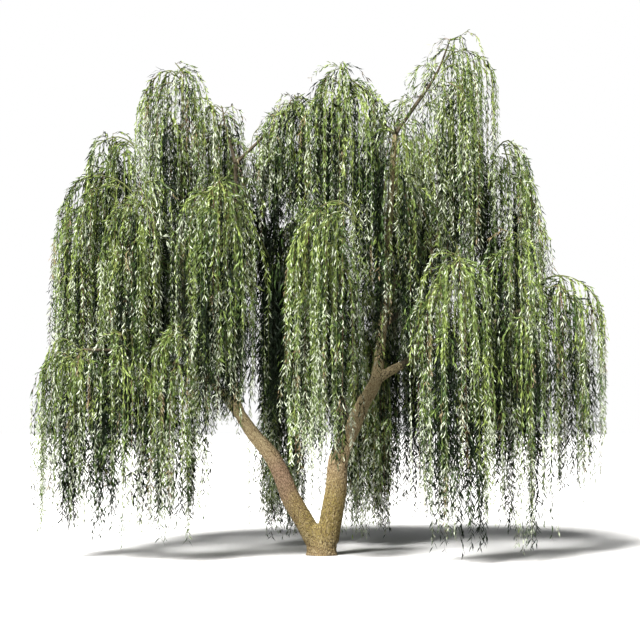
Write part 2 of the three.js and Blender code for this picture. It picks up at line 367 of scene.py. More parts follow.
def new_material(name: str) -> tuple[bpy.types.Material, bpy.types.Node]:
    """Makes a material and finds its Principled shader."""
    made = bpy.data.materials.new(name)
    made.use_nodes = True
    return made, made.node_tree.nodes["Principled BSDF"]


class BarkEffects:
    """Shader node groups that both barks use."""

    @staticmethod
    def relief() -> bpy.types.NodeTree:
        """Makes the group for the net of ridges and cracks.

        Returns:
            The group: Ridge is 1 on a ridge and 0 in a crack, Plate is a value for each plate of bark.
        """
        tree = bpy.data.node_groups.new("bark ridges", "ShaderNodeTree")
        start, end = interface(
            tree,
            {"Vector": ("NodeSocketVector", None), "Scale": ("NodeSocketFloat", 24.0),
             "Crack": ("NodeSocketFloat", 0.16)},
            {"Ridge": "NodeSocketFloat", "Plate": "NodeSocketFloat"},
        )
        make = TreeMaker(tree)
        moved = make.wander(start.outputs["Vector"])
        edge, plate = (make.node("ShaderNodeTexVoronoi", {"feature": feature}, Vector=moved,
                                 Scale=start.outputs["Scale"]) for feature in ("DISTANCE_TO_EDGE", "F1"))
        tone = make.node("ShaderNodeSeparateColor", Color=plate.outputs["Color"])
        share = make.math("DIVIDE", edge.outputs["Distance"], start.outputs["Crack"], clamp=True)
        make.feed(end.inputs["Ridge"], make.math("POWER", share, 0.7))
        make.feed(end.inputs["Plate"], tone.outputs[0])
        return tree

    @staticmethod
    def weather() -> bpy.types.NodeTree:
        """Makes the group for large patches of another tone.

        Returns:
            The group: Patch is a mask of large soft patches, Fleck is a mask of small ones.
        """
        tree = bpy.data.node_groups.new("bark patches", "ShaderNodeTree")
        start, end = interface(
            tree,
            {"Vector": ("NodeSocketVector", None), "Size": ("NodeSocketFloat", 2.2)},
            {"Patch": "NodeSocketFloat", "Fleck": "NodeSocketFloat"},
        )
        make = TreeMaker(tree)
        broad = make.node("ShaderNodeTexNoise", Vector=start.outputs["Vector"], Scale=start.outputs["Size"],
                          Detail=3.0, Roughness=0.6)
        fine = make.node("ShaderNodeTexNoise", Vector=start.outputs["Vector"], Scale=38.0, Detail=4.0,
                         Roughness=0.65)
        make.feed(end.inputs["Patch"], make.ramp(broad.outputs["Fac"], 0.44, 0.62))
        make.feed(end.inputs["Fleck"], make.ramp(fine.outputs["Fac"], 0.42, 0.68))
        return tree


@dataclass(frozen=True)
class BarkFinish:
    """A barked surface: cracks, ridges and weathered patches."""

    name: str
    crack: Colour
    ridge: Colour
    pale: Colour
    moss: Colour
    rose: Colour
    aged: Colour
    scale: float
    moss_at: Place
    moss_reach: float
    rose_at: Place
    rose_reach: float
    fine: float = 2.7
    upper_between: tuple[float, float] = (1.5, 2.9)
    relief: float = 0.012

    def material(self, relief: bpy.types.NodeTree, weather: bpy.types.NodeTree) -> bpy.types.Material:
        """Makes the material.

        Args:
            relief: The group of ridges and cracks.
            weather: The group of patches.

        Returns:
            The material.
        """
        made, shader = new_material(self.name)
        make = TreeMaker(made.node_tree)
        grain = make.node("ShaderNodeAttribute", {"attribute_name": "bark_coord"}).outputs["Vector"]
        place = make.node("ShaderNodeTexCoord").outputs["Object"]
        net = make.node("ShaderNodeGroup", {"node_tree": relief}, Vector=grain, Scale=self.scale)
        fine_net = make.node("ShaderNodeGroup", {"node_tree": relief}, Vector=grain,
                             Scale=self.scale * self.fine, Crack=0.24)
        patch = make.node("ShaderNodeGroup", {"node_tree": weather}, Vector=place)
        ridge = make.math("MULTIPLY", net.outputs["Ridge"],
                          make.ramp(fine_net.outputs["Ridge"], 0.0, 1.0, 0.62, 1.0))
        body = make.mix(net.outputs["Plate"], (*self.ridge, 1), (*self.pale, 1))
        body = make.mix(make.math("MULTIPLY", patch.outputs["Fleck"], 0.55), body, (*self.pale, 1))
        body = make.mix(self.near(make, place, self.rose_at, self.rose_reach, patch.outputs["Patch"], 0.8),
                        body, (*self.rose, 1))
        body = make.mix(self.near(make, place, self.moss_at, self.moss_reach, patch.outputs["Fleck"], 0.85),
                        body, (*self.moss, 1))
        high = make.node("ShaderNodeSeparateXYZ", Vector=place).outputs["Z"]
        # Higher up the bark takes its upper tone and its cracks fade; on the stems that paler tone is painted light
        # for the upper stems and the leader.
        upper_share = make.ramp(high, *self.upper_between, 0.0, 0.85)
        body = make.mix(upper_share, body, (*self.aged, 1))
        crack = make.mix(upper_share, (*self.crack, 1), (*self.ridge, 1))
        colour = make.mix(make.ramp(ridge, 0.12, 0.72), crack, body)
        make.feed(shader.inputs["Base Color"], colour)
        make.feed(shader.inputs["Roughness"], make.ramp(ridge, 0.0, 1.0, 0.95, 0.78))
        bump = make.node("ShaderNodeBump", Height=ridge, Strength=0.75, Distance=self.relief)
        make.feed(shader.inputs["Normal"], bump.outputs["Normal"])
        shader.inputs["Specular IOR Level"].default_value = 0.25
        return made

    @staticmethod
    def near(make: TreeMaker, place: bpy.types.NodeSocket, spot: Place, reach: float,
             mask: bpy.types.NodeSocket, strength: float) -> bpy.types.NodeSocket:
        """Makes a mask that fades out round a spot and is broken up by another mask."""
        fade = make.ramp(make.vector("DISTANCE", place, spot), reach * 0.25, reach, strength, 0.0)
        return make.math("MULTIPLY", fade, make.math("ADD", make.math("MULTIPLY", mask, 0.7), 0.3))


@dataclass(frozen=True)
class PlainFinish:
    """One even tone, as each leaf and each shoot has."""

    name: str
    color: Colour
    roughness: float
    specular: float = 0.5

    def material(self) -> bpy.types.Material:
        """Makes the material."""
        made, shader = new_material(self.name)
        shader.inputs["Base Color"].default_value = (*self.color, 1)
        shader.inputs["Roughness"].default_value = self.roughness
        shader.inputs["Specular IOR Level"].default_value = self.specular
        return made


# On the stems the upper tone is paler than the bark below: painted light that makes up for the crown's shade on the
# upper stems and the leader.
STEM_BARK = BarkFinish(
    "stem bark", crack=(0.080, 0.048, 0.024), ridge=(0.245, 0.165, 0.082), pale=(0.480, 0.385, 0.235),
    moss=(0.380, 0.310, 0.055), rose=(0.350, 0.230, 0.160),
    aged=(0.560, 0.470, 0.270), scale=36.0,
    moss_at=(0.02, -0.22, 0.75), moss_reach=0.95, rose_at=(-0.62, -0.2, 1.25), rose_reach=0.9,
)
BOUGH_BARK = BarkFinish(
    "bough bark", crack=(0.040, 0.030, 0.021), ridge=(0.105, 0.084, 0.055), pale=(0.170, 0.140, 0.095),
    moss=(0.150, 0.140, 0.060), rose=(0.150, 0.118, 0.085),
    aged=(0.120, 0.098, 0.062), scale=46.0,
    moss_at=(1.2, 0.0, 4.0), moss_reach=2.0, rose_at=(-1.6, 0.0, 5.0), rose_reach=2.5,
)


class Tint(Enum):
    """The tones that leaves are dealt out in, spray by spray."""

    YOUNG = PlainFinish("young leaf", (0.226, 0.296, 0.070), 0.36, 0.5)
    FRESH = PlainFinish("fresh leaf", (0.142, 0.205, 0.050), 0.34, 0.5)
    FULL = PlainFinish("full leaf", (0.038, 0.070, 0.017), 0.36, 0.3)
    PALE = PlainFinish("pale leaf underside", (0.470, 0.520, 0.385), 0.45, 0.4)
    # Near-black leaves: painted shade for foliage deep in the crown.
    SHADE = PlainFinish("shade leaf", (0.005, 0.0105, 0.004), 0.60, 0.12)
    TAN = PlainFinish("turning leaf", (0.200, 0.150, 0.080), 0.55, 0.3)


class Shoot(Enum):
    """The tones of the hanging whips."""

    GREEN = PlainFinish("green shoot", (0.230, 0.285, 0.070), 0.50)
    BROWN = PlainFinish("red brown shoot", (0.160, 0.075, 0.038), 0.60)
    # Near-black shoots: painted shade for whips deep in the crown.
    DARK = PlainFinish("shaded shoot", (0.013, 0.016, 0.007), 0.70, 0.12)


# ---------------------------------------------------------------- limbs


@dataclass(frozen=True)
class Limb:
    """A tapering limb: the line of its middle and its radius at each point, in metres."""

    line: tuple[tuple[float, float, float], ...]
    girth: tuple[float, ...]

    def run(self, step: float = 0.03) -> tuple[np.ndarray, np.ndarray]:
        """Follows the limb.

        Args:
            step: Distance between points.

        Returns:
            The points along its middle and the radius at each.
        """
        knots = np.asarray(self.line, float)
        chord = np.linalg.norm(np.diff(knots, axis=0), axis=1)
        count = max(8, int(chord.sum() / step))
        line = smooth_line(self.line, count)
        knot_at = np.concatenate([[0], np.cumsum(chord)]) / chord.sum()
        radii = np.interp(np.linspace(0, 1, count), knot_at, self.girth)
        return line, radii


LIMBS: dict[str, Limb] = {
    "left_stem": Limb(((-0.14, 0, 0.26), (-0.315, -0.02, 0.6), (-0.575, -0.05, 1.05), (-0.74, -0.07, 1.46),
        (-0.935, -0.1, 1.82), (-1.255, -0.15, 2.2), (-1.5, -0.18, 2.56), (-1.84, -0.23, 2.96),
        (-2.13, -0.27, 3.38)), (0.178, 0.174, 0.17, 0.158, 0.142, 0.122, 0.098, 0.076, 0.066)),
    "right_stem": Limb(((0.09, 0, 0.26), (0.25, 0, 1.15), (0.3, 0, 1.72), (0.435, -0.02, 2.06),
        (0.595, -0.03, 2.39), (0.76, -0.045, 2.76), (0.97, -0.06, 3.12), (1.04, -0.07, 3.48)), (0.208, 0.196, 0.18,
        0.152, 0.138, 0.124, 0.114, 0.096)),
    "leader": Limb(((1.03, -0.07, 3.44), (1.09, -0.09, 4.0), (1.17, -0.12, 4.9), (1.24, -0.12, 6.2),
        (1.35, -0.1, 7.74)), (0.094, 0.084, 0.074, 0.06, 0.044)),
    "leader_right_arm": Limb(((1.34, -0.1, 7.69), (1.66, -0.11, 8.14), (2.12, -0.12, 8.83), (2.37, -0.11, 9.46)),
        (0.042, 0.035, 0.024, 0.01)),
    "leader_left_arm": Limb(((1.345, -0.1, 7.69), (1.06, -0.12, 7.96), (0.85, -0.14, 8.42), (0.42, -0.18, 8.78)),
        (0.036, 0.028, 0.02, 0.012)),
    "right_low_bough": Limb(((0.96, -0.07, 3.16), (1.3, -0.09, 3.36), (1.7, -0.1, 3.56), (2.5, -0.06, 3.92),
        (3.6, 0.04, 4.42), (4.5, 0.1, 4.78)), (0.088, 0.074, 0.066, 0.056, 0.042, 0.026)),
    "right_high_bough": Limb(((1.15, -0.11, 4.7), (1.8, 0.04, 5.5), (2.7, 0.22, 6.35), (3.5, 0.3, 7.2)), (0.06,
        0.048, 0.036, 0.02)),
    "right_front_bough": Limb(((1.56, -0.1, 3.49), (1.74, -0.55, 3.93), (2.0, -1.25, 4.55), (2.25, -1.7, 5.11)),
        (0.058, 0.05, 0.038, 0.024)),
    "centre_front_bough": Limb(((0.3, 0, 1.64), (0.33, -0.32, 2.3), (0.3, -0.73, 3.51), (0.2, -1.31, 4.74),
        (0.21, -1.63, 5.82)), (0.098, 0.068, 0.052, 0.038, 0.018)),
    "upper_left_limb": Limb(((-1.43, -0.17, 2.42), (-1.55, -0.1, 2.8), (-1.61, 0, 3.3), (-1.6, 0.16, 4.6),
        (-1.6, 0.24, 6.0), (-1.61, 0.26, 7.3)), (0.082, 0.07, 0.062, 0.054, 0.046, 0.036)),
    "upper_left_arm": Limb(((-1.608, 0.26, 7.22), (-1.76, 0.33, 7.75), (-1.88, 0.38, 8.3)), (0.034, 0.024, 0.012)),
    "upper_right_arm": Limb(((-1.608, 0.26, 7.22), (-1.18, 0.29, 7.64), (-0.7, 0.32, 8.15), (-0.36, 0.33, 8.45)),
        (0.035, 0.026, 0.019, 0.01)),
    "left_bough": Limb(((-2.09, -0.26, 3.32), (-2.33, -0.23, 3.9), (-2.54, 0, 4.9), (-2.6, 0.25, 6.2),
        (-2.62, 0.38, 7.6), (-2.6, 0.36, 8.95)), (0.066, 0.058, 0.048, 0.038, 0.026, 0.01)),
    "lower_left_bough": Limb(((-1.98, -0.25, 3.13), (-2.6, -0.41, 3.42), (-3.52, -0.59, 3.66), (-4.38, -0.7, 3.69)),
        (0.055, 0.044, 0.034, 0.02)),
    "left_outer_bough": Limb(((-2.33, -0.22, 3.88), (-2.86, -0.12, 4.24), (-3.42, 0.08, 4.76), (-3.8, 0.25, 5.5),
        (-4.1, 0.3, 6.45)), (0.046, 0.038, 0.03, 0.024, 0.014)),
    "left_front_bough": Limb(((-2.36, -0.22, 4.0), (-2.63, -0.53, 4.71), (-2.97, -0.84, 5.63),
        (-3.13, -0.91, 6.34)), (0.042, 0.034, 0.024, 0.014)),
    "centre_left_bough": Limb(((-1.608, 0.03, 3.6), (-1.63, -0.59, 4.51), (-1.69, -1.38, 5.86),
        (-1.78, -1.74, 6.39)), (0.05, 0.04, 0.026, 0.014)),
    "back_left_bough": Limb(((-1.57, -0.07, 2.92), (-1.95, 0.9, 3.7), (-2.35, 2.0, 4.9), (-2.45, 2.6, 6.4)), (0.055,
        0.044, 0.034, 0.016)),
    "back_centre_bough": Limb(((0.51, -0.02, 2.13), (0.33, 0.9, 3.0), (0, 2.3, 4.4), (-0.4, 3.1, 6.4)), (0.08, 0.06,
        0.044, 0.018)),
    "back_right_bough": Limb(((1.11, -0.1, 4.15), (1.51, 0.5, 4.52), (1.76, 1.6, 5.06), (1.8, 2.9, 6.5)), (0.06,
        0.048, 0.036, 0.018)),
    "back_outer_right_bough": Limb(((1.7, -0.09, 3.64), (2.5, 0.7, 4.2), (3.4, 1.6, 4.8), (3.72, 2.0, 5.4)), (0.04,
        0.034, 0.026, 0.014)),
}
STEMS = ("left_stem", "right_stem", "leader")


@dataclass
class Trunk:
    """The flared foot below the fork, as oval rings from under the ground up."""

    heights: tuple[float, ...] = (-0.08, 0.0, 0.07, 0.17, 0.32, 0.48, 0.56)
    wide: tuple[float, ...] = (0.300, 0.284, 0.264, 0.268, 0.305, 0.372, 0.330)
    deep: tuple[float, ...] = (0.278, 0.262, 0.242, 0.230, 0.222, 0.206, 0.150)
    shift: tuple[float, ...] = (0.0, 0.0, -0.002, -0.006, -0.024, -0.055, -0.060)
    flare: tuple[float, ...] = (0.06, 0.055, 0.03, 0.015, 0.0, 0.0, 0.0)
    buttresses: int = 5

    def rings(self, sides: int = 64, count: int = 36) -> tuple[np.ndarray, list[tuple[int, ...]]]:
        """Makes the trunk's closed surface.

        Args:
            sides: Points round each ring.
            count: Number of rings.

        Returns:
            Its points and faces.
        """
        levels = np.linspace(self.heights[0], self.heights[-1], count)
        turn = np.linspace(0, TURN, sides, endpoint=False)
        rings = []
        for level in levels:
            wide, deep, shift, flare = (np.interp(level, self.heights, row)
                                        for row in (self.wide, self.deep, self.shift, self.flare))
            ridge = 1 + flare * np.cos(self.buttresses * turn + 0.7)
            rings.append(np.stack([shift + wide * ridge * np.sin(turn), -deep * ridge * np.cos(turn),
                                   np.full(sides, level)], axis=1))
        return closed_rings(np.array(rings))


def closed_rings(rings: np.ndarray) -> tuple[np.ndarray, list[tuple[int, ...]]]:
    """Closes a stack of rings into one surface.

    Args:
        rings: The rings' points, ring by ring.

    Returns:
        Points and faces, with a fan at each end.
    """
    count, sides, _ = rings.shape
    points = np.concatenate([rings.reshape(-1, 3), [rings[0].mean(0)], [rings[-1].mean(0)]])
    pairs = [(side, (side + 1) % sides) for side in range(sides)]
    faces = [(low + side, low + after, low + sides + after, low + sides + side)
             for low in range(0, (count - 1) * sides, sides) for side, after in pairs]
    foot, tip, last = len(points) - 2, len(points) - 1, (count - 1) * sides
    for side, after in pairs:
        faces += [(foot, after, side), (tip, last + side, last + after)]
    return points, faces


def tube(line: np.ndarray, radii: np.ndarray, sides: int) -> tuple[np.ndarray, list[tuple[int, ...]]]:
    """Makes a closed round tube of changing radius along a line."""
    first, second = frames_along(line)
    turn = np.linspace(0, TURN, sides, endpoint=False)
    around = np.cos(turn)[None, :, None] * first[:, None] + np.sin(turn)[None, :, None] * second[:, None]
    return closed_rings(line[:, None] + around * radii[:, None, None])


@dataclass
class Woodwork:
    """The trunk, stems and boughs with their bark.

    Attributes:
        stem_voxel: The size of the cells that the skin of the stems is made with.
        stem_sides: Sides of each stem before that.
        bough_sides: Sides of each bough.
        relief_depth: The height of a ridge over a crack on the stems, in metres.
        bough_relief: The same on the boughs.
        forks: The boughs whose first stretch is part of the skin of the stems.
        fork_share: How much of each of them is.
        fork_girth: How far that stretch swells at its start and at its end.
        collar: How much a bough swells where it starts, and the length over which it slims.
        knot_spacing: The distance between the swellings along a bough.
        foot_level: The height of the cut under the trunk, a hair over the ground.
        seed: The start of the source of chance.
    """

    stem_voxel: float = 0.0125
    stem_sides: int = 28
    bough_sides: int = 14
    relief_depth: float = 0.010
    bough_relief: float = 0.0035
    forks: tuple[str, ...] = ("right_low_bough", "centre_front_bough", "upper_left_limb")
    fork_share: float = 0.16
    fork_girth: tuple[float, float] = (1.12, 0.99)
    collar: tuple[float, float] = (0.3, 0.10)
    knot_spacing: float = 0.22
    foot_level: float = 0.0005
    seed: int = 5

    def build(self) -> None:
        """Builds the bark of the stems and of the boughs."""
        groups = BarkEffects.relief(), BarkEffects.weather()
        stem_bark, bough_bark = (finish.material(*groups) for finish in (STEM_BARK, BOUGH_BARK))
        stems, boughs = self.stems(), self.boughs()
        self.relieve(stems, stem_bark, self.relief_depth, STEM_BARK.scale)
        stems = plain_mesh(stems, "stem_bark")
        self.cut_foot(stems)
        settle(stems, ["trunk", *STEMS])
        self.relieve(boughs, bough_bark, self.bough_relief, BOUGH_BARK.scale)
        settle(plain_mesh(boughs, "bough_bark"), [name for name in LIMBS if name not in STEMS])

    def stems(self) -> bpy.types.Object:
        """Joins the trunk, stems and leader into one smooth skin.

        Returns:
            The skin, with its grain direction stored.
        """
        points, faces = Trunk().rings()
        for name in (*STEMS, *self.forks):
            line, radii = LIMBS[name].run()
            if name in self.forks:
                keep = max(6, int(len(line) * self.fork_share))
                line, radii = line[:keep], radii[:keep] * np.linspace(*self.fork_girth, keep)
            more, more_faces = tube(line, radii, self.stem_sides)
            faces += [tuple(i + len(points) for i in face) for face in more_faces]
            points = np.concatenate([points, more])
        skin = new_object("stem skin", mesh_from("stem skin", points, faces))
        remesh = skin.modifiers.new("skin", "REMESH")
        remesh.mode, remesh.voxel_size = "VOXEL", self.stem_voxel
        soft = skin.modifiers.new("soft", "SMOOTH")
        soft.factor, soft.iterations = 0.5, 6
        skin = plain_mesh(skin, "stem skin")
        spots = np.empty(len(skin.data.vertices) * 3, np.float32)
        skin.data.vertices.foreach_get("co", spots)
        put_attribute(skin.data, "bark_coord", "FLOAT_VECTOR", self.grain(spots.reshape(-1, 3)))
        return skin

    def grain(self, spots: np.ndarray) -> np.ndarray:
        """Finds each point's place across and along the limb that it belongs to.

        Args:
            spots: Points on the skin.

        Returns:
            Two coordinates across the limb and one along it, shortened so that ridges run lengthwise.
        """
        upright = np.stack([np.linspace(0, -0.02, 24), np.zeros(24), np.linspace(-0.1, 0.42, 24)], axis=1)
        middles = [(upright, np.full(24, 0.27))] + [LIMBS[name].run(0.02) for name in STEMS]
        table = np.concatenate([
            np.column_stack([line, width, *frames_along(line), run_along(line) + GRAIN_GAP * order])
            for order, (line, width) in enumerate(middles)])
        nearest = [(np.linalg.norm(part[:, None] - table[None, :, :3], axis=2) / table[None, :, 3]).argmin(1)
                   for part in np.array_split(spots, math.ceil(len(spots) / 4000))]
        own = table[np.concatenate(nearest)]
        offset = spots - own[:, :3]
        slim = 0.55 + 0.45 * np.clip(own[:, 3] / 0.19, 0.2, 1.0)
        across, beside = (np.einsum("ij,ij->i", offset, side) / slim for side in (own[:, 4:7], own[:, 7:10]))
        return np.stack([across, beside, own[:, 10] * GRAIN_SHARE], axis=1)

    def boughs(self) -> bpy.types.Object:
        """Makes the tubes of the boughs, each with a collar where it leaves its parent.

        Returns:
            The tubes, with their grain direction stored.
        """
        rng = np.random.default_rng(self.seed)
        points, faces, grain = np.zeros((0, 3)), [], []
        for order, (name, limb) in enumerate(LIMBS.items()):
            if name in STEMS:
                continue
            line, radii = limb.run(0.028)
            run = run_along(line)
            collar = 1 + self.collar[0] * np.exp(-run / self.collar[1])
            knot_at = np.arange(0, run[-1] + 0.3, self.knot_spacing)
            knots = 1 + 0.05 * np.interp(run, knot_at, rng.normal(size=len(knot_at)))
            more, more_faces = tube(line, radii * collar * knots, self.bough_sides)
            faces += [tuple(i + len(points) for i in face) for face in more_faces]
            points = np.concatenate([points, more])
            ring = np.concatenate([np.repeat(np.arange(len(line)), self.bough_sides), [0, len(line) - 1]])
            offset = more - line[ring]
            across = [np.einsum("ij,ij->i", offset, side[ring]) for side in frames_along(line)]
            grain.append(np.stack([*across, run[ring] * GRAIN_SHARE + GRAIN_GAP * order], axis=1))
        skin = new_object("bough skin", mesh_from("bough skin", points, faces))
        put_attribute(skin.data, "bark_coord", "FLOAT_VECTOR", np.concatenate(grain))
        return skin

    def relieve(self, skin: bpy.types.Object, material: bpy.types.Material, depth: float, scale: float) -> None:
        """Adds a Geometry Nodes modifier that raises ridges and sinks cracks in the bark.

        Args:
            skin: The skin with its grain stored.
            material: The bark's material.
            depth: Height of a ridge over a crack, in metres.
            scale: Number of plates of bark in a metre.
        """
        piece = PieceNodes("bark relief", {
            "Depth": ("NodeSocketFloat", depth), "Plates per Metre": ("NodeSocketFloat", scale),
            "Finish": ("NodeSocketMaterial", material)})
        make = piece.make
        grain = make.stored("FLOAT_VECTOR", "bark_coord")
        edge = make.node("ShaderNodeTexVoronoi", {"feature": "DISTANCE_TO_EDGE"}, Vector=make.wander(grain),
                         Scale=piece.begin.outputs["Plates per Metre"])
        ridge = make.ramp(edge.outputs["Distance"], 0.0, 0.2, -0.6, 0.4)
        swell = make.node("ShaderNodeTexNoise", Vector=grain, Scale=3.2, Detail=2.0)
        lumps = make.math("MULTIPLY", make.math("SUBTRACT", swell.outputs["Fac"], 0.5), 1.8)
        height = make.math("MULTIPLY", make.math("ADD", ridge, lumps), piece.begin.outputs["Depth"])
        normal = make.node("GeometryNodeInputNormal").outputs[0]
        place = make.node("GeometryNodeSetPosition", Geometry=piece.begin.outputs["Geometry"],
                          Offset=make.vector("SCALE", normal, height))
        smooth = make.node("GeometryNodeSetShadeSmooth", Geometry=place.outputs[0])
        piece.put_on(skin, smooth.outputs[0])

    def cut_foot(self, stems: bpy.types.Object) -> None:
        """Cuts the trunk flat at ground level and closes the cut."""
        solid = bmesh.new()
        solid.from_mesh(stems.data)
        everything = solid.verts[:] + solid.edges[:] + solid.faces[:]
        cut = bmesh.ops.bisect_plane(solid, geom=everything, plane_co=(0, 0, self.foot_level),
                                     plane_no=(0, 0, 1), clear_inner=True)
        rim = [e for e in cut["geom_cut"] if isinstance(e, bmesh.types.BMEdge)]
        bmesh.ops.holes_fill(solid, edges=rim)
        solid.to_mesh(stems.data)
        solid.free()


# ---------------------------------------------------------------- crown


@dataclass(frozen=True)
class Lobe:
    """A lobe of foliage: a dome of arching ribs with whips that hang to its hem, in metres."""

    at: tuple[float, float]
    top: float
    hem: float
    wide: float
    deep: float
    lean: tuple[float, float] = (0.0, 0.0)
    fullness: float = 1.0
    open_hem: float = 0.5
    # Painted shade given to all the lobe's whips as darker tints; a negative value fixes it at that size.
    shade: float = 0.0

    DROPS = (0.0, 0.03, 0.11, 0.25, 0.5, 0.76, 1.0)
    WIDTHS = (0.1, 0.42, 0.76, 0.96, 1.0, 0.93, 0.74)

    def middle(self, height: float) -> np.ndarray:
        """Finds the middle of the lobe at a height."""
        share = np.clip((height - self.hem) / (self.top - self.hem), 0, 1)
        return np.array([self.at[0] + self.lean[0] * share, self.at[1] + self.lean[1] * share, height])

    def width(self, drop: float) -> float:
        """Finds the share of the full width that the lobe has at a share of its height below the top."""
        return float(np.interp(drop, self.DROPS, self.WIDTHS))

    def holds(self, spot: np.ndarray) -> bool:
        """Tells whether a point is inside the lobe."""
        middle = self.middle(spot[2])
        drop = (self.top - spot[2]) / (self.top - self.hem)
        if not 0 < drop < 1:
            return False
        across = (spot[:2] - middle[:2]) / (np.array([self.wide, self.deep]) * self.width(drop))
        return float(across.dot(across)) < 1.0


LOBES: dict[str, Lobe] = {
    "right_front_curtain": Lobe((2.25, -1.85), 5.49, 0.1, 0.82, 0.9, (0.08, 0.1), 1.2, 0.58),
    "centre_front_curtain": Lobe((0.0, -1.78), 6.1, 1.45, 0.43, 0.76, (-0.02, 0.1), 1.1, 0.44),
    "centre_left_curtain": Lobe((-1.72, -1.92), 6.71, 2.15, 0.52, 0.72, (-0.05, 0.15), 1.2, 0.3),
    "lower_left_front_lobe": Lobe((-3.46, -1.52), 4.08, 0.12, 0.52, 0.76, (0.08, 0.12), 0.66, 0.8),
    "lower_left_inner_lobe": Lobe((-2.68, -1.49), 4.28, 0.22, 0.31, 0.76, (0.26, 0.15), 0.85, 0.66),
    "left_front_curtain": Lobe((-3.22, -1.02), 6.7, 2.91, 0.69, 0.81, (0.06, 0.15), 1, 0.35),
    "right_outer_curtain": Lobe((3.5, -1.24), 5.8, 0.12, 0.55, 0.86, (-0.04, 0.12), 0.9, 0.66),
    "lower_left_lobe": Lobe((-4.28, -0.73), 3.91, 0.26, 0.5, 0.9, (0.1, 0), 0.72, 0.6),
    "right_end_lobe": Lobe((4.5, 0.1), 5.08, 0.9, 0.54, 1.1, (-0.06, 0), 0.48, 0.5),
    "left_end_lobe": Lobe((-4.24, 0.35), 6.95, 1.6, 0.7, 1.2, (-0.06, 0), 0.98, 0.35),
    "top_right_dome": Lobe((2.66, 0.1), 9.56, 4.8, 0.42, 0.95, (-0.1, -0.1), 0.66, 0.28),
    "top_left_dome": Lobe((-2.77, 0.4), 9.22, 4.7, 0.42, 1.0, (0, 0), 0.66, 0.28),
    "top_centre_dome": Lobe((0.48, -0.25), 9.06, 4.2, 0.82, 1.15, (-0.15, 0), 1.05, 0.4),
    "left_high_lobe": Lobe((-3.93, 1.15), 8.0, 5.1, 0.74, 0.9, (-0.08, -0.15), 0.62, 0.3),
    "right_high_lobe": Lobe((3.46, 0.35), 7.62, 3.9, 0.50, 1.1, (-0.06, 0), 0.75, 0.32),
    "left_arm_lobe": Lobe((-1.93, 0.9), 8.5, 5.6, 0.29, 0.56, (0, -0.06), 0.75, 0.28),
    "right_arm_lobe": Lobe((-0.83, 0.45), 8.58, 6.0, 0.58, 0.85, (0.34, 0), 0.9, 0.28),
    "centre_right_curtain": Lobe((1.4, -0.72), 7.9, 3.15, 0.31, 0.62, (-0.1, 0.06), 0.8, 0.42),
    # The inner left curtain gets full painted shade; the two low tails are held to a little.
    "inner_left_curtain": Lobe((-0.71, 1.2), 6.5, 2.3, 0.56, 0.62, (0, 0), 1.6, 0.3, 1.0),
    "low_back_left_tail": Lobe((-0.74, 1.95), 4.9, 0.08, 0.12, 0.34, (0, 0), 1.5, 0.22, -0.2),
    "low_back_right_tail": Lobe((0.86, 2.01), 5.2, 0.08, 0.46, 0.6, (0, 0), 2.3, 0.24, -0.3),
    "back_left_lobe": Lobe((-2.45, 2.8), 6.9, 2.9, 0.98, 1, (0.06, -0.1), 1, 0.32),
    "back_centre_lobe": Lobe((-0.28, 3.45), 7, 2.2, 0.86, 1.05, (0, -0.2), 1.1, 0.32),
    "back_right_lobe": Lobe((1.68, 3.35), 7.2, 0.4, 1.08, 1.1, (-0.06, -0.2), 1.1, 0.45),
    "back_end_left_lobe": Lobe((-3.85, 2.35), 6.3, 1.5, 0.76, 0.95, (0.12, -0.06), 1, 0.42),
    "back_end_right_lobe": Lobe((3.75, 2.2), 5.8, 1.6, 0.9, 1.05, (-0.12, -0.06), 1, 0.42),
    "top_back_left_lobe": Lobe((-1.55, 1.75), 7.8, 4.6, 0.88, 0.8, (0, 0), 0.9, 0.28),
    "top_back_right_lobe": Lobe((1.95, 1.85), 8.1, 4.7, 1.1, 0.82, (0, 0), 1.2, 0.28),
}


@dataclass(frozen=True)
class Arch:
    """A twig that arches over at the crown's edge, in metres.

    Attributes:
        line: The X and Z of the points of its middle, from where it leaves the limb.
        depth: Its Y, one for the whole twig or one for each point.
        low: The least and greatest height at which its whips end.
        girth: Its radius where it leaves the limb.
        spacing: The distance along it between whips.
    """

    line: tuple[tuple[float, float], ...]
    depth: float | tuple[float, ...]
    low: tuple[float, float]
    girth: float
    spacing: float


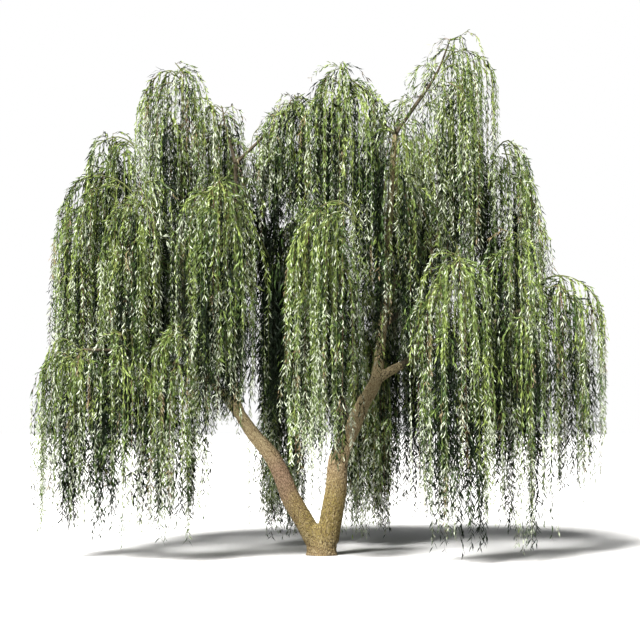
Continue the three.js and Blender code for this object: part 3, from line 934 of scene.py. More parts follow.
ARCHES: dict[str, Arch] = {
    "top left, falling left": Arch(((-2.67, 8.82), (-2.82, 8.99), (-3.02, 8.95), (-3.18, 8.77), (-3.28, 8.45)),
        0.35, (5.4, 7.4), 0.013, 0.12),
    "top left, second": Arch(((-2.67, 8.57), (-2.83, 8.72), (-3.03, 8.65), (-3.16, 8.37)), 0.15, (5.2, 6.8), 0.011,
        0.12),
    "top left, falling right": Arch(((-2.65, 8.92), (-2.54, 8.95), (-2.45, 8.73)), 0.35, (5.6, 7.4), 0.009, 0.1),
    "top left, right shoulder": Arch(((-2.52, 8.31), (-2.34, 8.44), (-2.14, 8.4), (-1.99, 8.16)), 0.2, (5.2, 6.6),
        0.011, 0.12),
    "left arm, right spur": Arch(((-1.85, 8.16), (-1.72, 8.31), (-1.61, 8.25), (-1.56, 8.01)), 0.36, (7.5, 7.95),
        0.008, 0.3),
    "left arm, left spur": Arch(((-1.88, 8.22), (-2.04, 8.34), (-2.17, 8.22), (-2.25, 7.98)), 0.4, (5.6, 6.8), 0.01,
        0.12),
    "left high bough": Arch(((-3.43, 7.45), (-3.64, 7.72), (-3.87, 7.85), (-4.1, 7.82), (-4.31, 7.68),
        (-4.43, 7.42)), 0.95, (3.0, 5.8), 0.019, 0.115),
    "left high bough, front": Arch(((-3.52, 7.54), (-3.72, 7.67), (-3.91, 7.59), (-4.04, 7.33)), 0.6, (3.5, 5.6),
        0.011, 0.12),
    "left outer bough": Arch(((-3.44, 6.55), (-3.74, 6.86), (-4.05, 6.98), (-4.37, 6.98), (-4.61, 6.82),
        (-4.75, 6.47)), 0.3, (1.6, 4.2), 0.02, 0.115),
    "left outer bough, front": Arch(((-3.64, 6.68), (-3.9, 6.75), (-4.15, 6.66), (-4.33, 6.38)), -0.1, (1.8, 4.4),
        0.012, 0.12),
    "lower left bough": Arch(((-4.25, 3.61), (-4.46, 3.82), (-4.64, 3.89), (-4.78, 3.75), (-4.85, 3.45)), -0.72,
        (0.35, 1.8), 0.012, 0.12),
    "right arm, first spur": Arch(((-1.33, 7.52), (-1.26, 7.81), (-1.11, 7.92), (-1.0, 7.74)), 0.3, (6.2, 7.2),
        0.008, 0.14),
    "right arm, second spur": Arch(((-0.83, 8.05), (-0.72, 8.33), (-0.57, 8.37), (-0.46, 8.16)), 0.3, (5.9, 7.2),
        0.008, 0.13),
    "centre top": Arch(((0.54, 8.69), (0.38, 8.89), (0.16, 8.82), (-0.02, 8.53)), -0.2, (5.2, 7.0), 0.012, 0.11),
    "centre top, lower": Arch(((0.81, 8.31), (0.63, 8.54), (0.42, 8.52), (0.25, 8.29)), -0.3, (5.2, 6.8), 0.011,
        0.12),
    "centre arm, right spur": Arch(((0.84, 8.37), (0.97, 8.48), (1.09, 8.3)), -0.1, (6.2, 7.2), 0.008, 0.12),
    "right arm tip, left spur": Arch(((2.09, 8.71), (2.04, 8.93), (1.89, 8.98), (1.75, 8.89), (1.67, 8.62)), -0.12,
        (8.3, 8.6), 0.008, 0.3),
    "right arm tip": Arch(((2.24, 9.01), (2.42, 9.21), (2.66, 9.26), (2.9, 9.17), (3.08, 8.92)), -0.1, (4.9, 7.0),
        0.013, 0.11),
    "right arm tip, second": Arch(((2.17, 8.78), (2.37, 8.94), (2.6, 8.9), (2.8, 8.69)), -0.3, (4.9, 6.6), 0.012,
        0.11),
    "right arm, third": Arch(((1.99, 8.46), (2.17, 8.64), (2.37, 8.59), (2.5, 8.35)), -0.25, (5.0, 6.6), 0.011,
        0.12),
    "right arm, fourth": Arch(((1.76, 8.11), (1.96, 8.26), (2.14, 8.2), (2.27, 7.95)), -0.2, (5.0, 6.8), 0.01,
        0.12),
    "right arm, left twig": Arch(((1.74, 8.08), (1.64, 8.34), (1.51, 8.4), (1.42, 8.2)), -0.2, (6.8, 7.8), 0.007,
        0.1),
    "right arm, fifth": Arch(((1.5, 7.8), (1.64, 7.94), (1.78, 7.88), (1.88, 7.62)), -0.25, (5.2, 6.8), 0.009,
        0.11),
    "right arm, sixth": Arch(((1.32, 7.5), (1.45, 7.66), (1.58, 7.6), (1.68, 7.35)), -0.2, (5.2, 6.6), 0.009, 0.11),
    "right arm, left fan": Arch(((1.58, 8.0), (1.51, 8.26), (1.34, 8.31), (1.18, 8.18)), -0.2, (5.6, 7.0), 0.009,
        0.12),
    "right arm, low left fan": Arch(((1.38, 7.79), (1.25, 8.12), (1.11, 8.21), (0.98, 8.09)), -0.15, (5.6, 7.0),
        0.009, 0.12),
    "right high bough": Arch(((3.15, 7.3), (3.32, 7.56), (3.47, 7.66), (3.63, 7.52), (3.77, 7.26), (3.88, 6.96)),
        0.3, (3.6, 5.4), 0.017, 0.115),
    "right high bough, front": Arch(((3.32, 7.35), (3.52, 7.31), (3.69, 7.06), (3.81, 6.69)), 0.0, (3.6, 5.2),
        0.012, 0.12),
    "right shoulder": Arch(((3.57, 6.54), (3.77, 6.52), (3.93, 6.3), (4.05, 5.92)), 0.1, (3.3, 5.0), 0.012, 0.12),
    "right end bough": Arch(((4.02, 4.98), (4.29, 5.09), (4.55, 5.07), (4.77, 4.97), (4.98, 4.78), (5.12, 4.45)),
        0.1, (1.0, 3.2), 0.02, 0.11),
    "right end bough, front": Arch(((4.03, 4.8), (4.25, 4.87), (4.46, 4.75), (4.63, 4.47)), -0.3, (1.2, 3.2), 0.012,
        0.12),
    "centre front bough": Arch(((0.59, 5.83), (0.47, 6.04), (0.27, 6.16), (0.0, 6.08), (-0.24, 5.83),
        (-0.41, 5.49)), -2.0, (1.9, 3.0), 0.016, 0.1),
    "centre front bough, second": Arch(((0.57, 5.76), (0.37, 5.94), (0.15, 5.89), (-0.05, 5.62)), -2.25, (1.5, 2.6),
        0.012, 0.11),
    "centre front bough, low": Arch(((0.2, 3.5), (0.08, 3.72), (-0.1, 3.7), (-0.24, 3.45)), -1.95, (1.35, 2.1),
        0.009, 0.1),
    "lower left inner bough, left": Arch(((-2.46, 3.66), (-2.51, 3.89), (-2.67, 3.87), (-2.8, 3.63)), -1.7,
        (0.35, 1.6), 0.01, 0.11),
    "lower left inner bough, right": Arch(((-2.46, 3.66), (-2.41, 3.9), (-2.29, 3.87), (-2.19, 3.65)), -1.7,
        (1.5, 2.5), 0.01, 0.11),
    "lower left bough, front": Arch(((-4.28, 3.35), (-4.48, 3.6), (-4.69, 3.6), (-4.84, 3.35)), -1.05, (0.4, 1.6),
        0.01, 0.1),
    "left stem spray": Arch(((-1.6, 2.75), (-1.66, 2.98), (-1.78, 3.0), (-1.92, 2.78)), (-0.3, -0.55, -0.75, -0.9),
        (1.9, 2.5), 0.007, 0.11),
}


@dataclass(frozen=True)
class Rod:
    """A twig or whip: its line and the radius along it."""

    line: np.ndarray
    radii: np.ndarray


@dataclass(frozen=True)
class Whip:
    """A hanging whip before it is grown.

    Attributes:
        start: Where it leaves its twig.
        heading: Its direction in plan, in radians.
        rise: Its slope at the start, in radians above level.
        bend: The length over which it turns down.
        length: Its whole length.
        inner: 0 on the outside of the crown and 1 deep inside; it also sets the painted shade of its leaves and
            shoot, and is raised for whips given painted shade.
        tassel: The number of the tassel that it hangs in.
    """

    start: np.ndarray
    heading: float
    rise: float
    bend: float
    length: float
    inner: float
    tassel: int


@dataclass(frozen=True)
class Tier:
    """A band of ribs in a lobe.

    Attributes:
        drops: The least and greatest depth below the top at which its ribs end, as a share of the height.
        shares: How far out its ribs end, as the least and greatest share of the lobe's width there.
        ribs: How many ribs a lobe of one metre has.
        whips: How many whips hang from each.
        lengths: How much of the way down to the hem its whips hang.
        inner: 0 for the outside of the lobe and 1 for deep inside, where whips get larger leaves and painted shade.
    """

    drops: tuple[float, float]
    shares: tuple[float, float]
    ribs: int
    whips: int
    lengths: tuple[float, float]
    inner: float


TIERS = (
    Tier((0.01, 0.12), (0.35, 0.95), 5, 4, (0.35, 0.80), 0.0),
    Tier((0.08, 0.30), (0.80, 0.97), 9, 5, (0.93, 1.00), 0.0),
    Tier((0.30, 0.55), (0.72, 0.97), 5, 4, (0.93, 1.00), 0.0),
    Tier((0.16, 0.42), (0.20, 0.70), 6, 5, (0.80, 1.00), 1.0),
    Tier((0.40, 0.66), (0.25, 0.75), 6, 5, (0.85, 1.00), 1.0),
)


@dataclass(frozen=True)
class Leaves:
    """The leaves of all the whips, one row for each.

    Attributes:
        spot: Where it is attached.
        tangent: The direction of its whip there.
        share: How far along its whip it stands.
        place: Its number on its whip.
        owner: The number of its whip.
        deep: How deep inside the crown it hangs, where leaves are larger and get painted shade.
    """

    spot: np.ndarray
    tangent: np.ndarray
    share: np.ndarray
    place: np.ndarray
    owner: np.ndarray
    deep: np.ndarray

    LENGTHS = (0.095, 0.145)
    WIDTHS = (0.120, 0.165)
    SPRAYS = 5
    # Odds of each tint in the order of Tint; the fifth is the near-black tint of painted shade, more often low on a
    # whip and mostly inside the crown.
    ODDS_AT_START = np.array([0.33, 0.38, 0.21, 0.03, 0.03, 0.02])
    ODDS_AT_END = np.array([0.06, 0.28, 0.33, 0.16, 0.13, 0.04])
    ODDS_INSIDE = np.array([0.00, 0.02, 0.13, 0.01, 0.84, 0.00])

    def poses(self, rng: np.random.Generator) -> tuple[np.ndarray, np.ndarray]:
        """Turns and sizes each leaf: close along the whip near its start, on alternate sides and spread lower down.

        Args:
            rng: The source of chance.

        Returns:
            A quaternion and a width-depth-length scale for each leaf.
        """
        count, share = len(self.spot), self.share
        first = unit(np.cross(self.tangent, np.array([0.31, 0.94, 0.12])))
        second = np.cross(self.tangent, first)
        facing = rng.uniform(0, TURN, self.owner.max() + 1)[self.owner]
        around = (facing + self.place * math.pi + rng.normal(0, 0.55, count))[:, None]
        side = np.cos(around) * first + np.sin(around) * second
        open_out = np.clip(share / 0.45, 0, 1)
        spread = np.radians(9 + 25 * open_out**1.3 + rng.normal(0, 7, count) * (0.5 + 0.7 * open_out))[:, None]
        axis = np.cos(spread) * self.tangent + np.sin(spread) * side
        axis[:, 2] -= rng.uniform(0.0, 0.15, count)
        axis = unit(axis)
        wide = unit(np.cross(axis, rng.normal(size=(count, 3))))
        turn = quaternions(wide, np.cross(axis, wide), axis)
        length = rng.uniform(*self.LENGTHS, count) * (1.06 - 0.28 * share**2) * (1 + 0.55 * self.deep)
        width = length * rng.uniform(*self.WIDTHS, count)
        return turn, np.stack([width, length, length], axis=1)

    def tints(self, inner: np.ndarray, rng: np.random.Generator) -> np.ndarray:
        """Deals a tint to each spray of leaves, which is a stretch of one whip, and turns some leaves over.

        Args:
            inner: How deep inside the crown each whip hangs, which sets how much painted shade its leaves get.
            rng: The source of chance.

        Returns:
            The index of each leaf's tint.
        """
        spray = np.minimum((self.share * self.SPRAYS).astype(int), self.SPRAYS - 1)
        dealt = np.empty((len(inner), self.SPRAYS), int)
        for stretch in range(self.SPRAYS):
            low = stretch / (self.SPRAYS - 1)
            odds = (1 - low) * self.ODDS_AT_START + low * self.ODDS_AT_END
            odds = (1 - inner[:, None]) * odds + inner[:, None] * self.ODDS_INSIDE
            draw = rng.uniform(size=(len(inner), 1))
            dealt[:, stretch] = (odds.cumsum(1) / odds.sum(1, keepdims=True) < draw).sum(1)
        tint = np.minimum(dealt[self.owner, spray], len(Tint) - 1)
        turned = rng.uniform(size=len(self.owner)) < (
            (0.02 + 0.30 * np.clip(self.share / 0.6, 0, 1) ** 1.5) * (self.deep < PAINTED_SHADE_FROM))
        tint[turned] = list(Tint).index(Tint.PALE)
        return tint


def leaf_forms() -> list[bpy.types.Object]:
    """Makes the narrow leaf in five curls, each a metre long and a metre wide before scaling.

    Returns:
        Three leaves of three faces and two simpler ones for inside the crown.
    """
    shapes = []
    for curl, lean in ((0.07, 1), (0.16, -1), (-0.11, 1)):
        points = [(0, 0, 0), (-0.48, curl * 0.8, 0.34), (0.48, curl * 0.8, 0.34),
                  (lean * 0.36, curl, 0.70), (lean * -0.06, -0.25 * curl, 1.0)]
        shapes.append((points, [(0, 2, 1), (1, 2, 3), (1, 3, 4) if lean > 0 else (2, 4, 3)]))
    for curl in (0.06, 0.14):
        points = [(0, 0, 0), (-0.5, curl, 0.42), (0.5, curl, 0.42), (0, -0.3 * curl, 1.0)]
        shapes.append((points, [(0, 2, 1), (1, 2, 3)]))
    return [new_object(f"leaf form {index}", mesh_from(f"leaf form {index}", points, faces))
            for index, (points, faces) in enumerate(shapes)]


@dataclass
class Crown:
    """Everything that grows on from the limbs: inner boughs, ribs, whips and leaves.

    Attributes:
        limits: The least and greatest corner of the space that the whips are drawn back to.
        seed: The start of each source of chance.
        lowest: The least height at which a whip ends.
        spacings: The distance between the leaves of outer and of inner whips.
        bare: The share of each stem and of each bough, from its start, that no lobe grows on from.
        core_girth: The radius of a lobe's core bough at its start and at its end.
        rib_girth: The radius of a stout rib and of a slim one at its start, and of each at its end.
        whip_girth: The radius of a whip at its start and at its end.
        whip_points: The least and greatest number of points of a whip.
        stout: The share of ribs that are stout.
        shaded_by_paint: The share of the whips of an outer rib that get painted shade, darker tints that stand in for
            shade.
        arching: The share of outer whips that arch up before they fall.
        brown: The share of outer whips that are red-brown.
        high: The height from which the boughs carry short whips of their own.
        leader_seen: The heights between which the leader shows.
        leader_clear: How far to each side of it most whips are taken out.
        cleared: The share of those whips that is taken out.
        hollows: Boxes in which the foliage gets full painted shade, as two values for each axis.
        piece_leaves: The most leaves in a piece.
    """

    limits: tuple[Place, Place]
    seed: int = 11
    lowest: float = 0.06
    spacings: tuple[float, float] = (0.031, 0.052)
    bare: tuple[float, float] = (0.85, 0.45)
    core_girth: tuple[float, float] = (0.022, 0.005)
    rib_girth: tuple[float, float, float] = (0.013, 0.008, 0.0026)
    whip_girth: tuple[float, float] = (0.0042, 0.0015)
    whip_points: tuple[int, int] = (5, 7)
    stout: float = 0.3
    shaded_by_paint: float = 0.30
    arching: float = 0.25
    brown: float = 0.28
    high: float = 4.2
    leader_seen: tuple[float, float] = (5.6, 7.5)
    leader_clear: float = 0.10
    cleared: float = 0.8
    hollows: tuple[tuple[tuple[float, float], ...], ...] = (
        ((-1.62, -0.62), (-0.5, 3.3), (2.3, 7.3)), ((-0.62, 2.3), (0.45, 1.9), (2.3, 6.9)))
    piece_leaves: int = 62_000
    rng: np.random.Generator = field(init=False)
    twigs: list[Rod] = field(default_factory=list)
    whips: list[Whip] = field(default_factory=list)
    tassels: int = 0

    def __post_init__(self) -> None:
        """Starts the source of chance that the branches are grown with."""
        self.rng = np.random.default_rng(self.seed)

    def build(self) -> None:
        """Grows the crown and makes its pieces."""
        for lobe in LOBES.values():
            self.grow_lobe(lobe)
        for arch in ARCHES.values():
            self.grow_arch(arch)
        self.hang_from_boughs()
        self.rods("crown_ribs", self.twigs, 4, PlainFinish("rib bark", (0.120, 0.135, 0.045), 0.75, 0.3))
        lines = self.open_sight(self.whip_lines())
        self.make_whips(lines)
        self.make_leaves(lines)

    # ------------------------------------------------ branching

    def nearest_limb(self, goal: np.ndarray) -> tuple[np.ndarray, np.ndarray]:
        """Finds where a lobe's bough grows on from.

        Args:
            goal: The point that it grows towards.

        Returns:
            The point on the limbs that costs the least growth, and the limb's direction there.
        """
        best, found = math.inf, None
        for name, limb in LIMBS.items():
            line, _ = limb.run(0.12)
            skip = int(len(line) * self.bare[0 if name in STEMS else 1])
            way = goal - line[skip:]
            cost = np.linalg.norm(way, axis=1) + 0.7 * np.maximum(0, -way[:, 2])
            index = int(cost.argmin())
            if cost[index] < best:
                best, found = cost[index], (line[skip + index], unit(np.gradient(line, axis=0))[skip + index])
        return found

    def start_whip(self, spot: np.ndarray, heading: float, rise: float, bend: float, length: float,
                   inner: float) -> None:
        """Starts one whip of the tassel that is being grown; the values are those of Whip."""
        self.whips.append(Whip(spot, heading, rise, bend, length, inner, self.tassels))

    def grow_lobe(self, lobe: Lobe) -> None:
        """Grows one lobe: a core bough, tiers of arching ribs, and the whips that hang from them."""
        rng = self.rng
        height = lobe.top - lobe.hem
        crest = lobe.middle(lobe.top)
        crest[2] = lobe.top - 0.06
        origin, tangent = self.nearest_limb(crest)
        low = lobe.middle(min(origin[2] + 0.3, lobe.top - 0.35 * height))
        bends = [origin, origin + tangent * 0.18, 0.5 * (origin + low) + [0, 0, 0.1], low,
                 0.5 * (low + crest) + rng.normal(size=3) * 0.05, crest]
        if np.linalg.norm(origin - crest) < 0.9:
            bends = [origin, crest]
        core = smooth_line(bends, 20)
        self.twigs.append(Rod(core, np.linspace(*self.core_girth, len(core))))
        size = math.sqrt(lobe.wide * lobe.deep)
        phases = rng.uniform(0, TURN, 3)
        for tier in TIERS if lobe.fullness > 0.6 else TIERS[:4]:
            count = max(3, int(round(tier.ribs * lobe.fullness * (0.35 + 0.75 * size))))
            phase = rng.uniform(0, TURN)
            for index in range(count):
                heading = phase + TURN * (index + rng.uniform(-0.4, 0.4)) / count
                uneven = 1 + 0.08 * math.sin(2 * heading + phases[0]) + 0.06 * math.sin(3 * heading + phases[1])
                self.grow_rib(lobe, heading, tier, uneven)
        for _ in range(int(5 * lobe.fullness)):
            self.tassels += 1
            self.start_whip(crest + np.array([0, 0, -rng.uniform(0.0, 0.45)]), rng.uniform(0, TURN),
                            math.radians(rng.uniform(30, 75)), rng.uniform(0.10, 0.45),
                            rng.uniform(0.6, 0.35 * height + 0.5), 0.0)

    def shade_of(self, lobe: Lobe, spot: np.ndarray, tier: Tier, crowded: bool) -> float:
        """Finds how much painted shade a rib's whips get: darker leaves and shoots that stand in for shade.

        Args:
            lobe: The rib's lobe, whose painted shade is fixed where it is negative.
            spot: The rib's end.
            tier: The band that the rib belongs to.
            crowded: Whether the rib reaches into another lobe.

        Returns:
            0 for no painted shade, on the outside of the crown, and 1 for full painted shade, deep inside.
        """
        if lobe.shade < 0:
            return -lobe.shade
        # Ribs that end in a hollow get full painted shade; ribs that reach into another lobe get most of it.
        if any(all(low < value < high for value, (low, high) in zip(spot, hollow)) for hollow in self.hollows):
            return 1.0
        return max(tier.inner, lobe.shade, 0.75 if crowded else 0.0)

    def grow_rib(self, lobe: Lobe, heading: float, tier: Tier, uneven: float) -> None:
        """Grows one rib that arches up and out from the core bough, and starts the whips on it.

        Args:
            lobe: The lobe.
            heading: The rib's direction in plan.
            tier: The band that the rib belongs to.
            uneven: How much further than the even outline the lobe reaches here.
        """
        rng = self.rng
        self.tassels += 1
        height = lobe.top - lobe.hem
        out = np.array([math.sin(heading), -math.cos(heading), 0.0])
        drop = rng.uniform(*tier.drops)
        full = lobe.width(drop) / math.hypot(out[0] / lobe.wide, out[1] / lobe.deep)
        start = lobe.middle(lobe.top - drop * height)
        beyond = start + out * full * 1.15 - [0, 0, 0.4]
        crowded = any(other.holds(beyond) for other in LOBES.values() if other is not lobe)
        share = rng.uniform(*tier.shares) * (1.22 if crowded else 0.93 * uneven)
        reach = max(0.18, full * share - (0.0 if crowded else 0.06))
        end = start + out * reach
        start[2] -= rng.uniform(-0.05, 0.5) * reach
        control = start + out * reach * rng.uniform(0.45, 0.7)
        control[2] = max(start[2], end[2]) + rng.uniform(0.3, 0.75) * reach
        t = np.linspace(0, 1, 9)[:, None]
        line = (1 - t) ** 2 * start + 2 * t * (1 - t) * control + t**2 * end
        line[:, 2] -= max(0.0, line[:, 2].max() - lobe.top)
        thick, slim, tip = self.rib_girth
        self.twigs.append(Rod(line, np.linspace(thick if rng.uniform() < self.stout else slim, tip, len(line))))
        inner = self.shade_of(lobe, end, tier, crowded)
        # Some whips of each outer rib get painted shade: darker leaves and shoots.
        shaded_by_paint = rng.uniform(size=tier.whips) < self.shaded_by_paint
        hang = lobe.open_hem * 0.7 * rng.uniform(0, 1) ** 1.9
        side = float(rng.choice((-1.0, 1.0)))
        for index in range(tier.whips):
            s = 0.15 + 0.85 * (index + rng.uniform(0.1, 0.9)) / tier.whips
            spot = at_run(s, t[:, 0], line)
            side = -side
            turn = heading + side * math.radians(rng.uniform(5, 85) * (1.15 - 0.6 * s))
            low = lobe.hem + height * (hang + 0.32 * lobe.open_hem * rng.uniform(0, 1) ** 1.6)
            length = max(0.5, (spot[2] - low) * rng.uniform(*tier.lengths) + 0.1)
            arch = inner < PAINTED_SHADE_FROM and rng.uniform() < self.arching
            rise = rng.uniform(35, 62) if arch else rng.uniform(-30, 40)
            bend = rng.uniform(0.22, 0.42) if arch else rng.uniform(0.06, 0.28)
            self.start_whip(spot, turn, math.radians(rise), bend, length, max(inner, 0.7 * shaded_by_paint[index]))
        low = lobe.hem + height * (hang + 0.1 * rng.uniform(0, 1))
        self.start_whip(line[-1], heading, math.radians(rng.uniform(-60, -20)), 0.10,
                        max(0.5, line[-1][2] - low), inner)

    def grow_arch(self, arch: Arch) -> None:
        """Grows one arching twig and the parallel whips that hang from it.

        Args:
            arch: The twig's line and how its whips hang.
        """
        rng = self.rng
        depths = np.broadcast_to(arch.depth, len(arch.line))
        line = smooth_line([(x, depth, z) for (x, z), depth in zip(arch.line, depths)], 14)
        self.twigs.append(Rod(line, np.linspace(arch.girth, 0.003, len(line))))
        run = run_along(line)
        tangents = unit(np.gradient(line, axis=0))
        lean = 1.0
        for at in np.arange(0.22 * run[-1], run[-1], arch.spacing / 2):
            at = min(run[-1], at + rng.uniform(-0.3, 0.3) * arch.spacing)
            spot = at_run(at, run, line)
            along = tangents[int(np.searchsorted(run, at))]
            lean = -lean
            heading = math.atan2(along[0], -along[1]) + lean * math.radians(rng.uniform(8, 75))
            rise = math.atan2(along[2], math.hypot(along[0], along[1])) * 0.5 + math.radians(rng.uniform(5, 45))
            self.tassels += 1
            length = max(0.3, spot[2] - rng.uniform(*arch.low))
            self.start_whip(spot, heading, rise, rng.uniform(0.08, 0.24), length, 0.0)

    def hang_from_boughs(self) -> None:
        """Starts short whips along the outer parts of the high boughs and of the leader."""
        rng = self.rng
        for name, limb in LIMBS.items():
            if name in ("left_stem", "right_stem"):
                continue
            line, _ = limb.run(0.1)
            for spot in line[int(len(line) * 0.35):]:
                if spot[2] < self.high:
                    continue
                self.tassels += 1
                for _ in range(2):
                    length = min(rng.uniform(0.6, 2.1), spot[2] - 2.8)
                    self.start_whip(spot, rng.uniform(0, TURN), math.radians(rng.uniform(-5, 50)),
                                    rng.uniform(0.12, 0.4), length, 0.3)

    # ------------------------------------------------ twigs and whips

    def whip_lines(self) -> list[np.ndarray]:
        """Grows every whip at once, arching out and then hanging.

        Returns:
            The points of each whip, closest together where it bends.
        """
        rng = np.random.default_rng(self.seed + 1)
        count, fine, level = len(self.whips), 48, math.pi / 2
        start = np.array([whip.start for whip in self.whips])
        heading, rise, bend, length = np.array(
            [(whip.heading, whip.rise, whip.bend, whip.length) for whip in self.whips]).T[:, :, None]
        share = (np.arange(fine + 1) / fine) ** 1.7
        run = share * length
        slope = -level + (rise + level) * np.exp(-run / bend)
        mid = 0.5 * (slope[:, 1:] + slope[:, :-1])
        step = np.diff(run, axis=1)
        turn = heading + np.cumsum(rng.normal(size=(count, fine)) * 0.04, axis=1)
        flat = np.cos(mid) * step
        moves = np.stack([flat * np.sin(turn), -flat * np.cos(turn), np.sin(mid) * step], axis=2)
        path = np.concatenate([np.zeros((count, 1, 3)), np.cumsum(moves, axis=1)], axis=1) + start[:, None]
        sway = rng.uniform(0.003, 0.016, size=(count, 2, 1)) * np.sqrt(share)
        wave = rng.uniform(2.5, 6.5, size=(count, 2, 1)) * run[:, None] / 1.3 + rng.uniform(0, 6.3, (count, 2, 1))
        path[:, :, :2] += np.transpose(sway * np.sin(wave), (0, 2, 1))
        path[:, :, :2] += self.gather(path, share)
        lift = np.maximum(0, self.lowest + rng.uniform(0, 0.12, count) - path[:, -1, 2])
        path[:, :, 2] += lift[:, None] * share
        low, high = (np.array(corner) for corner in self.limits)
        path -= (np.maximum(0, path - high) - np.maximum(0, low - path)) * 0.9
        counts = np.clip(np.round(4.4 + 0.8 * length[:, 0]), *self.whip_points).astype(int)
        return [row[np.round(np.linspace(0, fine, total)).astype(int)] for row, total in zip(path, counts)]

    def open_sight(self, lines: list[np.ndarray]) -> list[np.ndarray]:
        """Takes out most of the whips that hang close in front of the leader, so that it shows between them.

        Args:
            lines: The points of each whip.

        Returns:
            The points of the whips that stay.
        """
        leader, _ = LIMBS["leader"].run(0.1)
        rng = np.random.default_rng(self.seed + 5)
        levels = np.linspace(*self.leader_seen, 9)
        middle = np.stack([np.interp(levels, leader[:, 2], leader[:, axis]) for axis in range(2)], axis=1)
        kept = []
        for index, line in enumerate(lines):
            falling = line[line[:, 2].argmax():][::-1]
            inside = (levels > falling[0, 2]) & (levels < falling[-1, 2])
            across, depth = (np.interp(levels, falling[:, 2], falling[:, axis]) for axis in range(2))
            hides = inside & (np.abs(across - middle[:, 0]) < self.leader_clear) & (depth < middle[:, 1])
            if not (hides.any() and rng.uniform() < self.cleared):
                kept.append(index)
        self.whips = [self.whips[index] for index in kept]
        return [lines[index] for index in kept]

    def gather(self, path: np.ndarray, share: np.ndarray) -> np.ndarray:
        """Draws the ends of the whips of each tassel together.

        Args:
            path: The points of each whip.
            share: How far along the whips each point stands.

        Returns:
            The move in plan of every point.
        """
        tassel = np.array([whip.tassel for whip in self.whips])
        total = np.zeros((tassel.max() + 1, 2))
        np.add.at(total, tassel, path[:, -1, :2])
        middle = (total / np.maximum(1, np.bincount(tassel))[:, None])[tassel]
        return (middle - path[:, -1, :2])[:, None] * (0.05 * share[None, :, None] ** 1.6)

    def make_whips(self, lines: list[np.ndarray]) -> None:
        """Makes the whips as pieces of green, of red-brown and of shoots with painted shade."""
        rng = np.random.default_rng(self.seed + 2)
        # Whips deep in painted shade get the near-black shoot.
        painted_shade_shoots = np.array([whip.inner for whip in self.whips]) > PAINTED_SHADE_FROM
        brown = (rng.uniform(size=len(lines)) < self.brown) & ~painted_shade_shoots
        for shoot, chosen in ((Shoot.GREEN, ~brown & ~painted_shade_shoots), (Shoot.BROWN, brown), (Shoot.DARK, painted_shade_shoots)):
            rods = [Rod(lines[row], np.linspace(*self.whip_girth, len(lines[row]))) for row in np.flatnonzero(chosen)]
            self.rods(f"whips_{shoot.name.lower()}", rods, 3, shoot.value)

    @staticmethod
    def rods(name: str, rods: list[Rod], sides: int, finish: PlainFinish) -> None:
        """Makes thin closed rods along many lines with Geometry Nodes.

        Args:
            name: The piece's name.
            rods: The rods.
            sides: Sides of each rod.
            finish: Their tone.
        """
        points = np.concatenate([rod.line for rod in rods])
        ends = np.cumsum([len(rod.line) for rod in rods])
        first = np.delete(np.arange(len(points) - 1), ends[:-1] - 1)
        mesh = cloud_from(name, points, np.stack([first, first + 1], axis=1))
        put_attribute(mesh, "whip_radius", "FLOAT", np.concatenate([rod.radii for rod in rods]))
        thing = new_object(name + " lines", mesh)
        piece = PieceNodes(name, {"Sides": ("NodeSocketInt", sides),
                                  "Finish": ("NodeSocketMaterial", finish.material())})
        make = piece.make
        curve = make.node("GeometryNodeMeshToCurve", Mesh=piece.begin.outputs["Geometry"])
        width = make.stored("FLOAT", "whip_radius")
        sized = make.node("GeometryNodeSetCurveRadius", Curve=curve.outputs[0], Radius=width)
        ring = make.node("GeometryNodeCurvePrimitiveCircle", Resolution=piece.begin.outputs["Sides"], Radius=1.0)
        body = make.node("GeometryNodeCurveToMesh", Curve=sized.outputs[0], Profile_Curve=ring.outputs[0],
                         Fill_Caps=True, Scale=width)
        piece.put_on(thing, make.node("GeometryNodeSetShadeSmooth", Geometry=body.outputs[0]).outputs[0])
        settle(plain_mesh(thing, name))

    # ------------------------------------------------ leaves

    def make_leaves(self, lines: list[np.ndarray]) -> None:
        """Deals leaves along the whips and makes a piece for each tint."""
        rng = np.random.default_rng(self.seed + 3)
        inner = np.array([whip.inner for whip in self.whips])
        leaves = self.leaves_along(lines, inner, rng)
        turn, size = leaves.poses(rng)
        tint = leaves.tints(inner, rng)
        coarse, count = leaves.deep > COARSE_FROM, len(leaves.spot)
        form = np.where(coarse, 3 + rng.integers(0, 2, count), rng.integers(0, 3, count))
        LOG.info("%d whips, %d leaves, %d of them inside", len(lines), count, coarse.sum())
        forms = leaf_forms()
        for order, name in enumerate(Tint):
            chosen = np.flatnonzero(tint == order)
            halves = np.array_split(chosen, math.ceil(len(chosen) / self.piece_leaves)) if len(chosen) else []
            for part, rows in enumerate(halves):
                label = f"leaves_{name.name.lower()}" + ("" if len(halves) == 1 else f"_{part + 1}")
                stands_for = LOBES if order == part == 0 else ()
                stored = {"leaf_turn": ("QUATERNION", turn[rows]), "leaf_size": ("FLOAT_VECTOR", size[rows]),
                          "leaf_form": ("INT", form[rows])}
                self.spray(label, leaves.spot[rows], stored, forms, name.value, stands_for)
        for thing in forms:
            bpy.data.objects.remove(thing, do_unlink=True)

